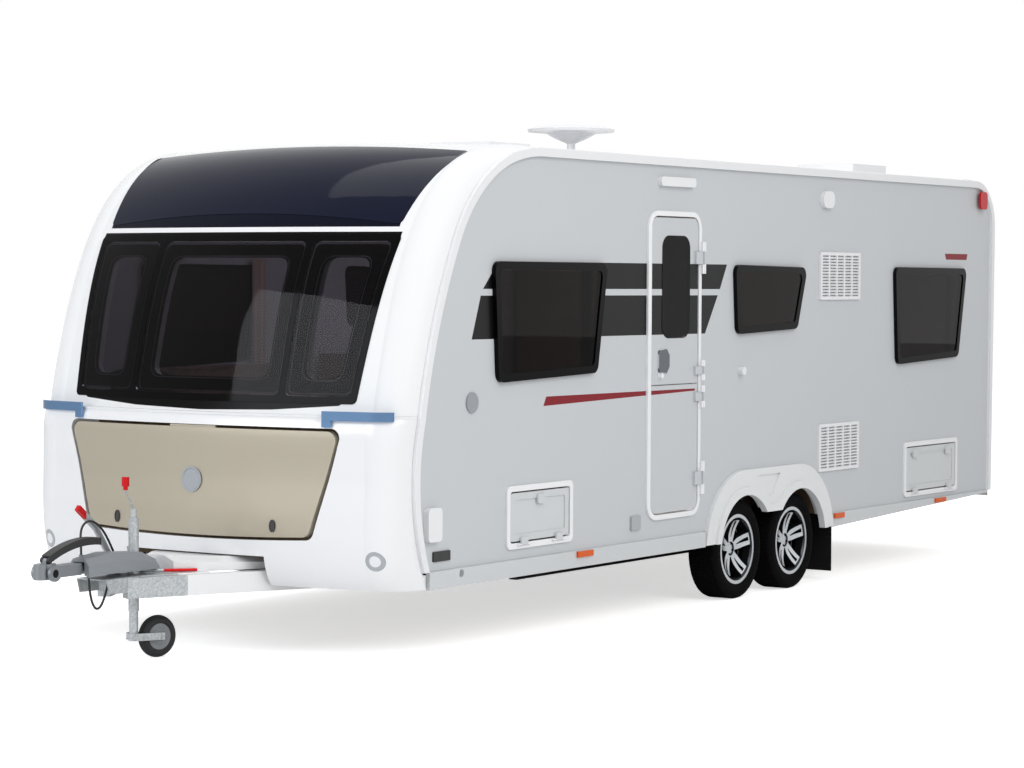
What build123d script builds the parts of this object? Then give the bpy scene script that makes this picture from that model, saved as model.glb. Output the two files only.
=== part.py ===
"""Twin-axle touring caravan, built as an assembly of separate pieces.

Millimetres. X is across (the door side is +X), Y is along the vehicle with the coupling at -Y,
Z is up from the ground. Y is counted from the middle of the overall length.
"""
from build123d import *
import math
import os

os.makedirs("parts", exist_ok=True)

# Overall sizes
body_width = 2260
roof_height = 2436
skirt_top = 413
skirt_bottom = 328
wall = 30
roof_camber = 30
seat_gap = 0.3
half = body_width / 2
inner_half = half - wall

# Side view of the body: the line that the awning rails follow, from the front foot to the rear foot.
# Columns: y, z, how far the outward normal leans up from level in degrees
front_foot = (-2600, skirt_top, 0)
front_nose = (-2680, 780, 0)
front_waist = (-2640, 1130, 10)
front_lean = (-2532, 1557, 17)
front_brow = (-2356, 1977, 31)
front_bend = (-2157, 2235, 50)
front_crown = (-1882, 2392, 72)
front_ease = (-1740, 2424, 83)
roof_front = (-1594, roof_height, 90)
rear_radius = 290
roof_rear = (3675, roof_height, 90)
rear_top = (roof_rear[0] + rear_radius, roof_height - rear_radius, 0)
rear_foot = (3943, skirt_top, 0)

# Running gear
axle_y = (538, 1193)
tyre_radius = 280
tyre_width = 185
rim_radius = 195
rim_width = 160
wheel_x = 1020
arch_radius = 308
eyebrow_radius = 448
spat_proud = 38
spat_bottom = 335
arch_web_bottom = 477
spat_middle = (axle_y[0] + axle_y[1]) / 2

# Floor and chassis
floor_thickness = 44
floor_top = skirt_top + floor_thickness
rail_x = 640
rail_depth = 190
rail_flange = 46
sheet = 4
rail_top = skirt_top - seat_gap
coupling_z = 458
ball_radius = 25.2
jockey_y = -3345
jockey_trail = 132
jockey_turn = -15
jockey_radius = 100
jockey_width = 60
jockey_lift = 60


def write(part, name):
    """Labels one finished piece and writes it as parts/NAME.step."""
    part.label = name
    export_step(part, f"parts/{name}.step")


def drawn_in(point, margin):
    """A point of the side view moved inwards by a margin, along its own normal."""
    y, z, lean = point
    way = 1 if y < 0 else -1
    turn = math.radians(lean)
    return (y + way * margin * math.cos(turn), z - margin * math.sin(turn))


def side_face(plane, margin=0.0):
    """The closed side view of the body on a plane of the side view, made smaller by a margin."""
    foot, nose, waist, lean = [drawn_in(p, margin) for p in (front_foot, front_nose, front_waist, front_lean)]
    brow, bend, crown, ease = [drawn_in(p, margin) for p in (front_brow, front_bend, front_crown, front_ease)]
    start, end, back, heel = [drawn_in(p, margin) for p in (roof_front, roof_rear, rear_top, rear_foot)]
    with BuildSketch(plane) as face:
        with BuildLine():
            ThreePointArc(foot, nose, waist)
            ThreePointArc(waist, lean, brow)
            ThreePointArc(brow, bend, crown)
            ThreePointArc(crown, ease, start)
            Line(start, end)
            RadiusArc(end, back, rear_radius - margin)
            Line(back, heel)
            Line(heel, foot)
        make_face()
    return face.sketch


# Front and rear skins
# A cross-section of a skin is a strip: two corner arcs and one wide bow. It stands on a point
# of the side line, in the plane square to that line there.
bow_sag = 96
front_bow = 223
rear_bow = 43
corner_bulge = 0.71
skin_gap = 3
bow_fade = 1.25


def strip(plane, bow, corner, lift=0.0, depth=wall):
    """Draws one skin section: bow is its rise at the middle, corner the width of its corner."""
    shoulder = bow - bow_sag * bow / front_bow if bow < front_bow else bow - bow_sag
    flat = half - corner
    with BuildSketch(plane) as section:
        with BuildLine():
            outer_mid = (half - 0.29 * corner, -corner_bulge * (shoulder + lift))
            ThreePointArc((half, 0), outer_mid, (flat, -shoulder - lift))
            ThreePointArc((flat, -shoulder - lift), (0, -bow - lift), (-flat, -shoulder - lift))
            ThreePointArc((-flat, -shoulder - lift), (-outer_mid[0], outer_mid[1]), (-half, 0))
            Line((-half, 0), (-inner_half, 0))
            inner = shoulder - depth
            inner_mid = (half - depth - 0.27 * corner, -corner_bulge * inner)
            ThreePointArc((-inner_half, 0), (-inner_mid[0], inner_mid[1]), (-flat, -inner))
            ThreePointArc((-flat, -inner), (0, depth - bow), (flat, -inner))
            ThreePointArc((flat, -inner), inner_mid, (inner_half, 0))
            Line((inner_half, 0), (half, 0))
        make_face()
    return section.sketch


def tilted(point, tangent):
    """The plane through a point of the side line, square to the line, with X across."""
    plane = Plane(origin=(0, point.Y, point.Z), x_dir=(1, 0, 0), z_dir=tangent)
    return Plane(origin=plane.origin - plane.y_dir * skin_gap, x_dir=(1, 0, 0), z_dir=tangent)


def yz(pair):
    """A point of the side view as a place in space."""
    return Vector(0, pair[0], pair[1])


lean_arc = ThreePointArc(yz(front_waist), yz(front_lean), yz(front_brow))
bend_arc = ThreePointArc(yz(front_brow), yz(front_bend), yz(front_crown))
crown_arc = ThreePointArc(yz(front_crown), yz(front_ease), yz(roof_front))
front_stations = [(lean_arc, 0.5), (lean_arc, 1.0), (bend_arc, 0.5), (bend_arc, 1.0), (crown_arc, 1.0)]
front_corner = 170
sill_z = 1150
sill_thickness = 12


def edge_line(arc, height):
    """The y of one arc of the body's front side edge at a height."""
    rise = height - arc.arc_center.Z
    return arc.arc_center.Y - math.sqrt(arc.radius ** 2 - rise ** 2)


def front_skin(lift=0.0, depth=wall):
    """The upper front skin, from the window sill back to where the roof runs level."""
    foot = edge_line(lean_arc, sill_z)
    level = Plane(origin=(0, foot - skin_gap, sill_z + seat_gap), x_dir=(1, 0, 0), z_dir=(0, 0, 1))
    sections = [strip(level, front_bow, front_corner, lift, depth)]
    for arc, where in front_stations:
        tangent = Vector(0, 1, 0) if arc is crown_arc else arc % where
        rise = front_bow * max(tangent.Z, 0) ** bow_fade + roof_camber * tangent.Y
        sections.append(strip(tilted(arc @ where, tangent), rise, front_corner, lift, depth))
    with BuildPart() as skin:
        loft(sections)
    return skin.part


# Rows: height, rise of the bow
lower_stations = [(332, 296), (480, 295), (650, 260), (814, 236), (974, 246), (1090, 266),
                  (sill_z - sill_thickness - seat_gap, 262)]
foot_arc = ThreePointArc(yz(front_foot), yz(front_nose), yz(front_waist))


def foot_line(height):
    """The y of the body's front side edge at a height below the waist."""
    return edge_line(foot_arc if height < front_waist[1] else lean_arc, height)


def lower_skin(depth=wall):
    """The lower front moulding, from the bumper's edge up to the window sill."""
    sections = []
    for height, rise in lower_stations:
        level = Plane(origin=(0, foot_line(height) - skin_gap, height), x_dir=(1, 0, 0), z_dir=(0, 0, 1))
        sections.append(strip(level, rise, front_corner, 0, depth))
    with BuildPart() as skin:
        loft(sections)
    return skin.part


# Openings of the front, seen from the front: half widths and heights
band_bottom = (868, 1202)
band_top = (932, 2004)
pane_divide = (478, 474)
pane_border = 34
lid_top = (845, 1090)
lid_bottom = (690, 562)
lid_sag = 16
lid_gap = 14
lid_side_gap = 20
roof_pane = ((904, -312), (981, 284))
front_view = Plane(origin=(0, -3400, 0), x_dir=(1, 0, 0), z_dir=(0, -1, 0))
roof_view = Plane(origin=(0, -2272, 2300), x_dir=(1, 0, 0), z_dir=(0, -1, 1))


def band_face(margin=0.0):
    """The outline of the whole front window band, made smaller by a margin."""
    low, high = band_bottom, band_top
    points = [(-low[0] + margin, low[1] + margin), (low[0] - margin, low[1] + margin),
              (high[0] - margin, high[1] - margin), (-high[0] + margin, high[1] - margin)]
    with BuildSketch(front_view) as face:
        Polygon(*points, align=None)
        fillet(face.vertices(), 26)
    return face.sketch


def pane_faces(margin=0.0):
    """The three panes of the front band, each made smaller by a margin."""
    low, high = band_bottom, band_top
    inset = pane_border + margin
    edges = [(-low[0] + inset, -high[0] + inset, -pane_divide[0] - margin, -pane_divide[1] - margin),
             (-pane_divide[0] + inset, -pane_divide[1] + inset, pane_divide[0] - inset, pane_divide[1] - inset),
             (pane_divide[0] + margin, pane_divide[1] + margin, low[0] - inset, high[0] - inset)]
    with BuildSketch(front_view) as faces:
        for left_low, left_high, right_low, right_high in edges:
            Polygon((left_low, low[1] + inset), (right_low, low[1] + inset), (right_high, high[1] - inset),
                    (left_high, high[1] - inset), align=None)
        fillet(faces.vertices(), 30)
    return faces.sketch


def lid_face(margin=0.0, side_margin=0.0):
    """The locker lid's outline, made smaller by a margin above and below and one at the sides."""
    top, low = lid_top, lid_bottom
    wide, narrow = top[0] - side_margin, low[0] - side_margin
    with BuildSketch(front_view) as face:
        with BuildLine():
            Line((wide, top[1] - margin), (-wide, top[1] - margin))
            Line((-wide, top[1] - margin), (-narrow, low[1] + margin))
            ThreePointArc((-narrow, low[1] + margin), (0, low[1] - lid_sag + margin), (narrow, low[1] + margin))
            Line((narrow, low[1] + margin), (wide, top[1] - margin))
        make_face()
        fillet(face.vertices(), 45)
    return face.sketch


def roof_pane_face(margin=0.0):
    """The roof window's outline in its slanting view, made smaller by a margin."""
    low, high = roof_pane
    with BuildSketch(roof_view) as face:
        Polygon((-low[0] + margin, low[1] + margin), (low[0] - margin, low[1] + margin),
                (high[0] - margin, high[1] - margin), (-high[0] + margin, high[1] - margin), align=None)
        fillet(face.vertices(), 30)
    return face.sketch


glass = 8
cut_reach = 1100
with BuildPart() as front_upper:
    add(front_skin())
    extrude(band_face(), amount=-cut_reach, mode=Mode.SUBTRACT)
    extrude(roof_pane_face(), amount=cut_reach / 2, both=True, mode=Mode.SUBTRACT)
write(front_upper.part, "front_upper")

with BuildPart() as front_band:
    add(front_skin(lift=3, depth=22))
    extrude(band_face(seat_gap), amount=-cut_reach, mode=Mode.INTERSECT)
    extrude(pane_faces(), amount=-cut_reach, mode=Mode.SUBTRACT)
write(front_band.part, "front_band")

with BuildPart() as front_panes:
    add(front_skin(lift=1, depth=glass))
    extrude(pane_faces(seat_gap), amount=-cut_reach, mode=Mode.INTERSECT)
write(front_panes.part, "front_panes")

with BuildPart() as roof_window:
    add(front_skin(lift=2, depth=glass + 4))
    extrude(roof_pane_face(seat_gap), amount=cut_reach / 2, both=True, mode=Mode.INTERSECT)
write(roof_window.part, "roof_window")

lower_shell = lower_skin()
lamp_x = 1010
lamp_z = 476
lamp_radius = 46
fairing_notch = (425, 474)
with BuildPart() as front_lower:
    add(lower_shell)
    with Locations((0, front_nose[0], fairing_notch[1] - 100)):
        Box(2 * fairing_notch[0], 2 * cut_reach, 200, mode=Mode.SUBTRACT)
    extrude(lid_face(), amount=-cut_reach, mode=Mode.SUBTRACT)
    with BuildSketch(front_view):
        with Locations((lamp_x, lamp_z), (-lamp_x, lamp_z)):
            Circle(lamp_radius + seat_gap)
    extrude(amount=-cut_reach, mode=Mode.SUBTRACT)

with BuildPart() as front_lamps:
    add(lower_shell)
    with BuildSketch(front_view):
        with Locations((lamp_x, lamp_z), (-lamp_x, lamp_z)):
            Circle(lamp_radius)
    extrude(amount=-cut_reach, mode=Mode.INTERSECT)
write(front_lamps.part, "front_lamps")

# Sill: the ledge that closes the lower moulding under the window band
with BuildPart() as front_sill:
    sill_y = foot_line(sill_z - sill_thickness) - 2 * skin_gap
    sill_bow = lower_stations[-1][1]
    shoulder = sill_bow - bow_sag
    flat = half - front_corner
    with BuildSketch(Plane.XY.offset(sill_z - sill_thickness)):
        with BuildLine():
            corner_mid = (half - 0.29 * front_corner, sill_y - corner_bulge * shoulder)
            ThreePointArc((half, sill_y), corner_mid, (flat, sill_y - shoulder))
            ThreePointArc((flat, sill_y - shoulder), (0, sill_y - sill_bow), (-flat, sill_y - shoulder))
            ThreePointArc((-flat, sill_y - shoulder), (-corner_mid[0], corner_mid[1]), (-half, sill_y))
            Line((-half, sill_y), (half, sill_y))
        make_face()
    extrude(amount=sill_thickness)
with BuildPart() as front_moulding:
    add(front_lower.part)
    add(front_sill.part)
write(front_moulding.part, "front_lower")
# Side walls: a flat sandwich panel each, with its windows, door and lockers cut through
# Rows: name, front bottom, front top, rear top, rear bottom corner, seen from the door side
windows_left = [("lounge", (-1988, 1288), (-2027, 1880), (-972, 1876), (-1069, 1315)),
                ("middle", (432, 1491), (403, 1879), (1269, 1868), (1148, 1514)),
                ("rear", (2500, 1276), (2458, 1878), (3521, 1875), (3401, 1307))]
windows_right = [("lounge", (-1988, 1288), (-2027, 1880), (-972, 1876), (-1069, 1315)),
                 ("kitchen", (-190, 1500), (-220, 1879), (620, 1872), (560, 1514)),
                 ("rear", (2500, 1276), (2458, 1878), (3521, 1875), (3401, 1307))]
window_round = 48
frame_width = 40
frame_proud = 24
frame_lap = 14
# Rows: y low, y high, z low, z high
door_opening = (-514, 14, 530, 2142)
locker_hole = (-1868, -1306, 489, 753)
cassette_hole = (2657, 3405, 466, 761)
door_round = 70
hatch_round = 20
wall_gap = 22


def rounded_box(box, radius, margin=0.0):
    """Draws a rounded rectangle given as (y low, y high, z low, z high), made smaller by a margin."""
    width = box[1] - box[0] - 2 * margin
    height = box[3] - box[2] - 2 * margin
    with Locations(((box[0] + box[1]) / 2, (box[2] + box[3]) / 2)):
        RectangleRounded(width, height, radius)


def window_face(corners, plane, margin=0.0, radius=window_round):
    """A window's rounded outline on a plane of the side view, made smaller by a margin."""
    with BuildSketch(plane) as face:
        Polygon(*corners, align=None)
        if margin:
            offset(amount=-margin, kind=Kind.INTERSECTION)
        fillet(face.vertices(), radius)
    return face.sketch


def arch_face(plane, radius, web):
    """The wheels' opening: two round arches and the web that hangs between them."""
    with BuildSketch(plane) as face:
        with Locations(*[(y, tyre_radius) for y in axle_y]):
            Circle(radius)
        with Locations((spat_middle, web / 2)):
            Rectangle(axle_y[1] - axle_y[0], web)
        with Locations((spat_middle, 0)):
            Rectangle(axle_y[1] - axle_y[0] + 4 * radius, 2 * (spat_bottom - 1), mode=Mode.SUBTRACT)
    return face.sketch


def side_plane(x):
    """A drawing plane at a given X whose x is the vehicle's Y and whose y is its Z."""
    return Plane(origin=(x, 0, 0), x_dir=(0, 1, 0), z_dir=(1, 0, 0))


def block(x, y, z, mode=Mode.ADD):
    """Adds a box to the piece being built, given as a pair of limits each way."""
    spans = [sorted(pair) for pair in (x, y, z)]
    with Locations(tuple((low + high) / 2 for low, high in spans)):
        Box(*[high - low for low, high in spans], mode=mode)


def rod(start, end, radius, mode=Mode.ADD):
    """Adds a straight round bar between two points to the piece being built."""
    run = Vector(*end) - Vector(*start)
    with Locations(Plane(origin=start, z_dir=run)):
        Cylinder(radius, run.length, align=(Align.CENTER, Align.CENTER, Align.MIN), mode=mode)


def bar(start, end, width, depth, across=(1, 0, 0), mode=Mode.ADD):
    """Adds a straight flat bar between two points: its width lies along across."""
    run = Vector(*end) - Vector(*start)
    with Locations(Plane(origin=start, x_dir=across, z_dir=run)):
        Box(width, depth, run.length, align=(Align.CENTER, Align.CENTER, Align.MIN), mode=mode)


def side_wall(side, windows, holes):
    """One side wall as a flat panel with its windows and hatches cut out."""
    plane = side_plane(side * inner_half)
    depth = side * wall
    with BuildPart() as panel:
        extrude(side_face(plane), amount=depth)
        for _, *corners in windows:
            extrude(window_face(corners, plane, frame_lap), amount=depth, mode=Mode.SUBTRACT)
        for box, radius in holes:
            with BuildSketch(plane):
                rounded_box(box, radius)
            extrude(amount=depth, mode=Mode.SUBTRACT)
        extrude(arch_face(plane, arch_radius + wall_gap, arch_web_bottom + wall_gap), amount=depth,
                mode=Mode.SUBTRACT)
    return panel.part


left_holes = [(door_opening, door_round), (locker_hole, hatch_round), (cassette_hole, hatch_round)]
write(side_wall(1, windows_left, left_holes), "side_wall_left")
write(side_wall(-1, windows_right, []), "side_wall_right")

# Awning rails: the white edging along the front edge, the roof edge and the rear edge of each side
rail_width = 34
rail_thickness = 20
rail_over = 8
with BuildPart() as awning_rails:
    for side in (1, -1):
        plane = side_plane(side * (half + seat_gap))
        with BuildPart(mode=Mode.PRIVATE) as one_rail:
            extrude(side_face(plane, -rail_over), amount=side * rail_thickness)
            extrude(side_face(plane, rail_width), amount=side * rail_thickness, mode=Mode.SUBTRACT)
            block((side * half, side * (half + 2 * rail_thickness)),
                  (front_foot[0] + 2 * rail_width, rear_foot[0] - 2 * rail_width),
                  (skirt_top - rail_width, skirt_top + 2 * rail_width), Mode.SUBTRACT)
            block((side * half, side * (half + 2 * rail_thickness)), (2 * front_foot[0], 2 * rear_foot[0]),
                  (0, skirt_top), Mode.SUBTRACT)
        add(one_rail.part)
write(awning_rails.part, "awning_rails")

# Roof: one shell from the front skin to the rear skin
with BuildPart() as roof_panel:
    roof_start = Plane(origin=(0, roof_front[0] + seat_gap, roof_height + skin_gap), x_dir=(1, 0, 0),
                       z_dir=(0, 1, 0))
    extrude(strip(roof_start, roof_camber, front_corner), amount=roof_rear[0] - roof_front[0] - 2 * seat_gap)
write(roof_panel.part, "roof_panel")

# Rear skin: down from the roof round the rear edge to the foot, with its window cut out
rear_arc_middle = (roof_rear[0] + rear_radius * math.sin(math.radians(45)),
                   roof_height - rear_radius + rear_radius * math.cos(math.radians(45)))
rear_arc = ThreePointArc(yz(roof_rear), yz(rear_arc_middle), yz(rear_top))
rear_corner = 90
rear_skin_bottom = 400
rear_window = (-430, 430, 1430, 1900)
rear_frame_lift = 3


def rear_line(height):
    """The y of the body's rear side edge at a height."""
    share = (rear_top[1] - height) / (rear_top[1] - rear_foot[1])
    return rear_top[0] + share * (rear_foot[0] - rear_top[0])


def rear_skin(lift=0.0, depth=wall):
    """The rear skin: strips round the upper bend, then a straight run down to the rear foot."""
    sections = []
    for where in (0.0, 0.25, 0.5, 0.75, 1.0):
        tangent = rear_arc % where
        rise = rear_bow * abs(tangent.Z) + roof_camber * abs(tangent.Y)
        sections.append(strip(tilted(rear_arc @ where, tangent), rise, rear_corner, lift, depth))
    level = Plane(origin=(0, rear_line(rear_skin_bottom) + skin_gap, rear_skin_bottom), x_dir=(1, 0, 0),
                  z_dir=(0, 0, -1))
    with BuildPart() as skin:
        loft(sections)
        loft([sections[-1], strip(level, rear_bow, rear_corner, lift, depth)], ruled=True)
    return skin.part


def rear_face(box, radius, margin=0.0):
    """A rounded outline on the rear, given as (x low, x high, z low, z high)."""
    with BuildSketch(Plane(origin=(0, 3600, 0), x_dir=(1, 0, 0), z_dir=(0, -1, 0))) as face:
        rounded_box(box, radius, margin)
    return face.sketch


rear_reach = -600
with BuildPart() as rear_panel:
    add(rear_skin())
    extrude(rear_face(rear_window, window_round), amount=rear_reach, mode=Mode.SUBTRACT)
write(rear_panel.part, "rear_panel")

# Window frames and panes of both sides and the rear
frames = []
panes = []
for side, windows in ((1, windows_left), (-1, windows_right)):
    outer = side_plane(side * (half + seat_gap))
    for _, *corners in windows:
        with BuildPart() as one_frame:
            extrude(window_face(corners, outer), amount=side * frame_proud)
            extrude(window_face(corners, outer, frame_width, 30), amount=side * frame_proud,
                    mode=Mode.SUBTRACT)
        frames.append(one_frame.part)
        with BuildPart() as one_pane:
            extrude(window_face(corners, outer, frame_width + seat_gap, 30), amount=side * (frame_proud - 6))
        panes.append(one_pane.part)
with BuildPart() as window_frames:
    for frame in frames:
        add(frame)
    with BuildPart(mode=Mode.PRIVATE) as rear_frame:
        add(rear_skin(rear_frame_lift, wall - 8))
        extrude(rear_face(rear_window, window_round - seat_gap, seat_gap), amount=rear_reach,
                mode=Mode.INTERSECT)
        extrude(rear_face(rear_window, 30, frame_width), amount=rear_reach, mode=Mode.SUBTRACT)
    add(rear_frame.part)
write(window_frames.part, "window_frames")
with BuildPart() as window_panes:
    for pane in panes:
        add(pane)
    with BuildPart(mode=Mode.PRIVATE) as rear_pane:
        add(rear_skin(1, wall - 8))
        extrude(rear_face(rear_window, 30, frame_width + seat_gap), amount=rear_reach, mode=Mode.INTERSECT)
    add(rear_pane.part)
write(window_panes.part, "window_panes")

# Floor with the boxes over the wheels
box_skin = 8
box_reach = 270
box_margin = 336
box_top = 640
floor_front = -2592
floor_rear = 3932
well = (axle_y[0] - box_margin, axle_y[1] + box_margin)
with BuildPart() as floor:
    block((-inner_half + seat_gap, inner_half - seat_gap), (floor_front, floor_rear), (skirt_top, floor_top))
    for side in (1, -1):
        outside = side * (inner_half - seat_gap)
        inside = side * (inner_half - box_reach)
        block((outside, inside), well, (skirt_top, box_top))
        block((side * half, inside + side * box_skin), (well[0] + box_skin, well[1] - box_skin),
              (skirt_top, box_top - box_skin), Mode.SUBTRACT)
write(floor.part, "floor")

# Skirts under the side walls
skirt_x = (half - 6, half + 18)
skirt_front = -2564
skirt_rise = ((1644, 329), (3899, 399))
skirt_hole = (-2298, 387, 20)
with BuildPart() as side_skirts:
    for side in (1, -1):
        block([side * x for x in skirt_x], (skirt_front, axle_y[0] - eyebrow_radius - 2),
              (skirt_bottom, skirt_top - seat_gap))
        rod((side * half - 40, *skirt_hole[:2]), (side * half + 40, *skirt_hole[:2]), skirt_hole[2],
            Mode.SUBTRACT)
        with BuildSketch(side_plane(side * skirt_x[0])):
            Polygon(skirt_rise[0], skirt_rise[1], (skirt_rise[1][0], skirt_top - seat_gap),
                    (skirt_rise[0][0], skirt_top - seat_gap), align=None)
        extrude(amount=side * (skirt_x[1] - skirt_x[0]))
write(side_skirts.part, "side_skirts")

# Wheel spats: a proud panel round both arches, with a bolder lip along each arch
spat_lip = 44
spat_base = 22
spat_sink = 12
spat_dip = [(683, 690), (953, 690), (862, 566), (800, 566)]
with BuildPart() as wheel_spats:
    for side in (1, -1):
        plane = side_plane(side * (half + seat_gap))
        with BuildPart(mode=Mode.PRIVATE) as one_spat:
            with BuildSketch(plane):
                with Locations(*[(y, tyre_radius) for y in axle_y]):
                    Circle(eyebrow_radius)
                with Locations((spat_middle, tyre_radius)):
                    Rectangle(axle_y[1] - axle_y[0], 2 * eyebrow_radius)
                with Locations((spat_middle, 0)):
                    Rectangle(4 * eyebrow_radius, 2 * spat_bottom, mode=Mode.SUBTRACT)
            extrude(amount=side * spat_base)
            dip = side_plane(side * (half + seat_gap + spat_base - spat_sink))
            with BuildSketch(dip):
                Polygon(*spat_dip, align=None)
            extrude(amount=side * spat_sink, mode=Mode.SUBTRACT)
            extrude(arch_face(plane, arch_radius + spat_lip, arch_web_bottom + spat_lip),
                    amount=side * spat_proud)
            extrude(arch_face(plane, arch_radius, arch_web_bottom), amount=side * spat_proud,
                    mode=Mode.SUBTRACT)
            block((side * (half - 5), side * (half + 2 * spat_proud)),
                  (well[0] - eyebrow_radius, well[1] + eyebrow_radius), (0, spat_bottom), Mode.SUBTRACT)
        add(one_spat.part)
write(wheel_spats.part, "wheel_spats")


# Door: a frame round the opening, and two leaves that swing on knuckles at its rear edge
def inset(box, margin):
    """A (low, high, low, high) box made smaller all round."""
    return (box[0] + margin, box[1] - margin, box[2] + margin, box[3] - margin)


reveal = 9
flange_proud = 12
door_flange = (-540, 32, 512, 2160)
door_gap = 8
door_split = 1231
leaf_split = 6
door_pane_box = (-392, -92, 1480, 2030)
door_hinge = (half + 28, 38)
knuckle_radius = 7
leaf_box = inset(door_opening, reveal + door_gap)
leaf_out = half + 8
# Rows: z low, z high of the leaf's hinge strap
upper_straps = [(1827, 1999), (1246, 1356)]
lower_straps = [(1098, 1218), (625, 804)]
knuckle_share = 0.3


def leaf_face(plane):
    """The outline of both door leaves together."""
    with BuildSketch(plane) as face:
        rounded_box(leaf_box, door_round - reveal - door_gap)
    return face.sketch


with BuildPart() as door_frame:
    plane = side_plane(inner_half)
    with BuildSketch(plane):
        rounded_box(door_opening, door_round - seat_gap, seat_gap)
    extrude(amount=wall + flange_proud)
    with BuildSketch(side_plane(half + seat_gap)):
        rounded_box(door_flange, door_round + 26)
    extrude(amount=flange_proud - seat_gap)
    with BuildSketch(plane):
        rounded_box(door_opening, door_round - reveal, reveal)
    extrude(amount=wall + flange_proud, mode=Mode.SUBTRACT)
    for low, high in upper_straps + lower_straps:
        end = knuckle_share * (high - low)
        for start, stop in ((low, low + end), (high - end, high)):
            rod((*door_hinge, start), (*door_hinge, stop), knuckle_radius)
            block((half + flange_proud - 1, door_hinge[0]), (door_flange[1] - 16, door_hinge[1] + 4),
                  (start, stop))


def door_leaf(low, high, straps):
    """One leaf of the door between two heights, with its hinge straps."""
    with BuildPart() as leaf:
        extrude(leaf_face(side_plane(leaf_out - wall)), amount=wall)
        block((inner_half - wall, half + wall), (leaf_box[0], leaf_box[1]), (low, high), Mode.INTERSECT)
        for bottom, top in straps:
            end = knuckle_share * (top - bottom) + seat_gap
            rod((*door_hinge, bottom + end), (*door_hinge, top - end), knuckle_radius)
            block((leaf_out - 2, door_hinge[0] - 5), (leaf_box[1] - 42, leaf_box[1] - 6),
                  (bottom + end, top - end))
            block((door_hinge[0] - 11, door_hinge[0] - 5), (leaf_box[1] - 42, door_hinge[1]),
                  (bottom + end, top - end))
    return leaf.part


handle_box = (-432, -312, 1294, 1424)
with BuildPart() as door_upper:
    add(door_leaf(door_split + leaf_split / 2, leaf_box[3], upper_straps))
    with BuildSketch(side_plane(leaf_out)):
        rounded_box(door_pane_box, 70)
    extrude(amount=-wall, mode=Mode.SUBTRACT)
    with BuildSketch(side_plane(leaf_out - 1)):
        rounded_box(handle_box, 40)
    extrude(amount=8)
write(door_upper.part, "door_upper")
with BuildPart() as door_pane:
    with BuildSketch(side_plane(leaf_out - wall)):
        rounded_box(door_pane_box, 70 - seat_gap, seat_gap)
    extrude(amount=wall + 2)
write(door_pane.part, "door_pane")
with BuildPart() as door_lower:
    add(door_leaf(leaf_box[2], door_split - leaf_split / 2, lower_straps))
write(door_lower.part, "door_lower")

# Service hatches: a proud frame each, and a door hinged along its bottom edge
hatch_reveal = 5
hatch_gap = 8
hatch_flange = 24
hatch_axis = (half + 19, 0)
hatch_knuckle = 5
hatches = [("locker_door", locker_hole), ("cassette_door", cassette_hole)]
knuckle_length = 60
with BuildPart() as hatch_frames:
    for _, hole in hatches:
        with BuildPart(mode=Mode.PRIVATE) as one_hatch:
            with BuildSketch(side_plane(inner_half)):
                rounded_box(hole, hatch_round - seat_gap, seat_gap)
            extrude(amount=wall + flange_proud)
            with BuildSketch(side_plane(half + seat_gap)):
                rounded_box(inset(hole, -hatch_flange), hatch_round + 12)
            extrude(amount=flange_proud - seat_gap)
            with BuildSketch(side_plane(inner_half)):
                rounded_box(hole, hatch_round - hatch_reveal, hatch_reveal)
            extrude(amount=wall + flange_proud, mode=Mode.SUBTRACT)
            hinge_z = hole[2] - 3
            for middle in (hole[0] + 120, hole[1] - 120):
                for way in (-1, 1):
                    near = middle + way * (knuckle_length / 2 + seat_gap)
                    far = near + way * knuckle_length / 2
                    rod((hatch_axis[0], near, hinge_z), (hatch_axis[0], far, hinge_z), hatch_knuckle)
                    block((half + flange_proud - 1, hatch_axis[0]), (near, far), (hinge_z - 4, hinge_z + 4))
        add(one_hatch.part)
    add(door_frame.part)
write(hatch_frames.part, "door_frames")
for name, hole in hatches:
    panel = inset(hole, hatch_reveal + hatch_gap)
    hinge_z = hole[2] - 3
    with BuildPart() as hatch_door:
        with BuildSketch(side_plane(leaf_out - wall)):
            rounded_box(panel, hatch_round - hatch_reveal - hatch_gap + 5)
        extrude(amount=wall)
        with BuildSketch(side_plane(leaf_out)):
            rounded_box(inset(panel, 34), 14)
        extrude(amount=-6, mode=Mode.SUBTRACT)
        for middle in (hole[0] + 120, hole[1] - 120):
            span = (middle - knuckle_length / 2, middle + knuckle_length / 2)
            rod((hatch_axis[0], span[0], hinge_z), (hatch_axis[0], span[1], hinge_z), hatch_knuckle)
            block((leaf_out - 2, hatch_axis[0] + hatch_knuckle), span, (panel[2] + 4, panel[2] + 18))
            block((hatch_axis[0] - hatch_knuckle, hatch_axis[0] + hatch_knuckle), span,
                  (hinge_z, panel[2] + 18))
        for middle in ([(hole[0] + hole[1]) / 2] if name == "locker_door" else [hole[0] + 130, hole[1] - 130]):
            with BuildSketch(side_plane(leaf_out - 1)):
                rounded_box((middle - 34, middle + 34, panel[3] - 62, panel[3] - 14), 10)
            extrude(amount=12)
    write(hatch_door.part, name)

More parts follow.
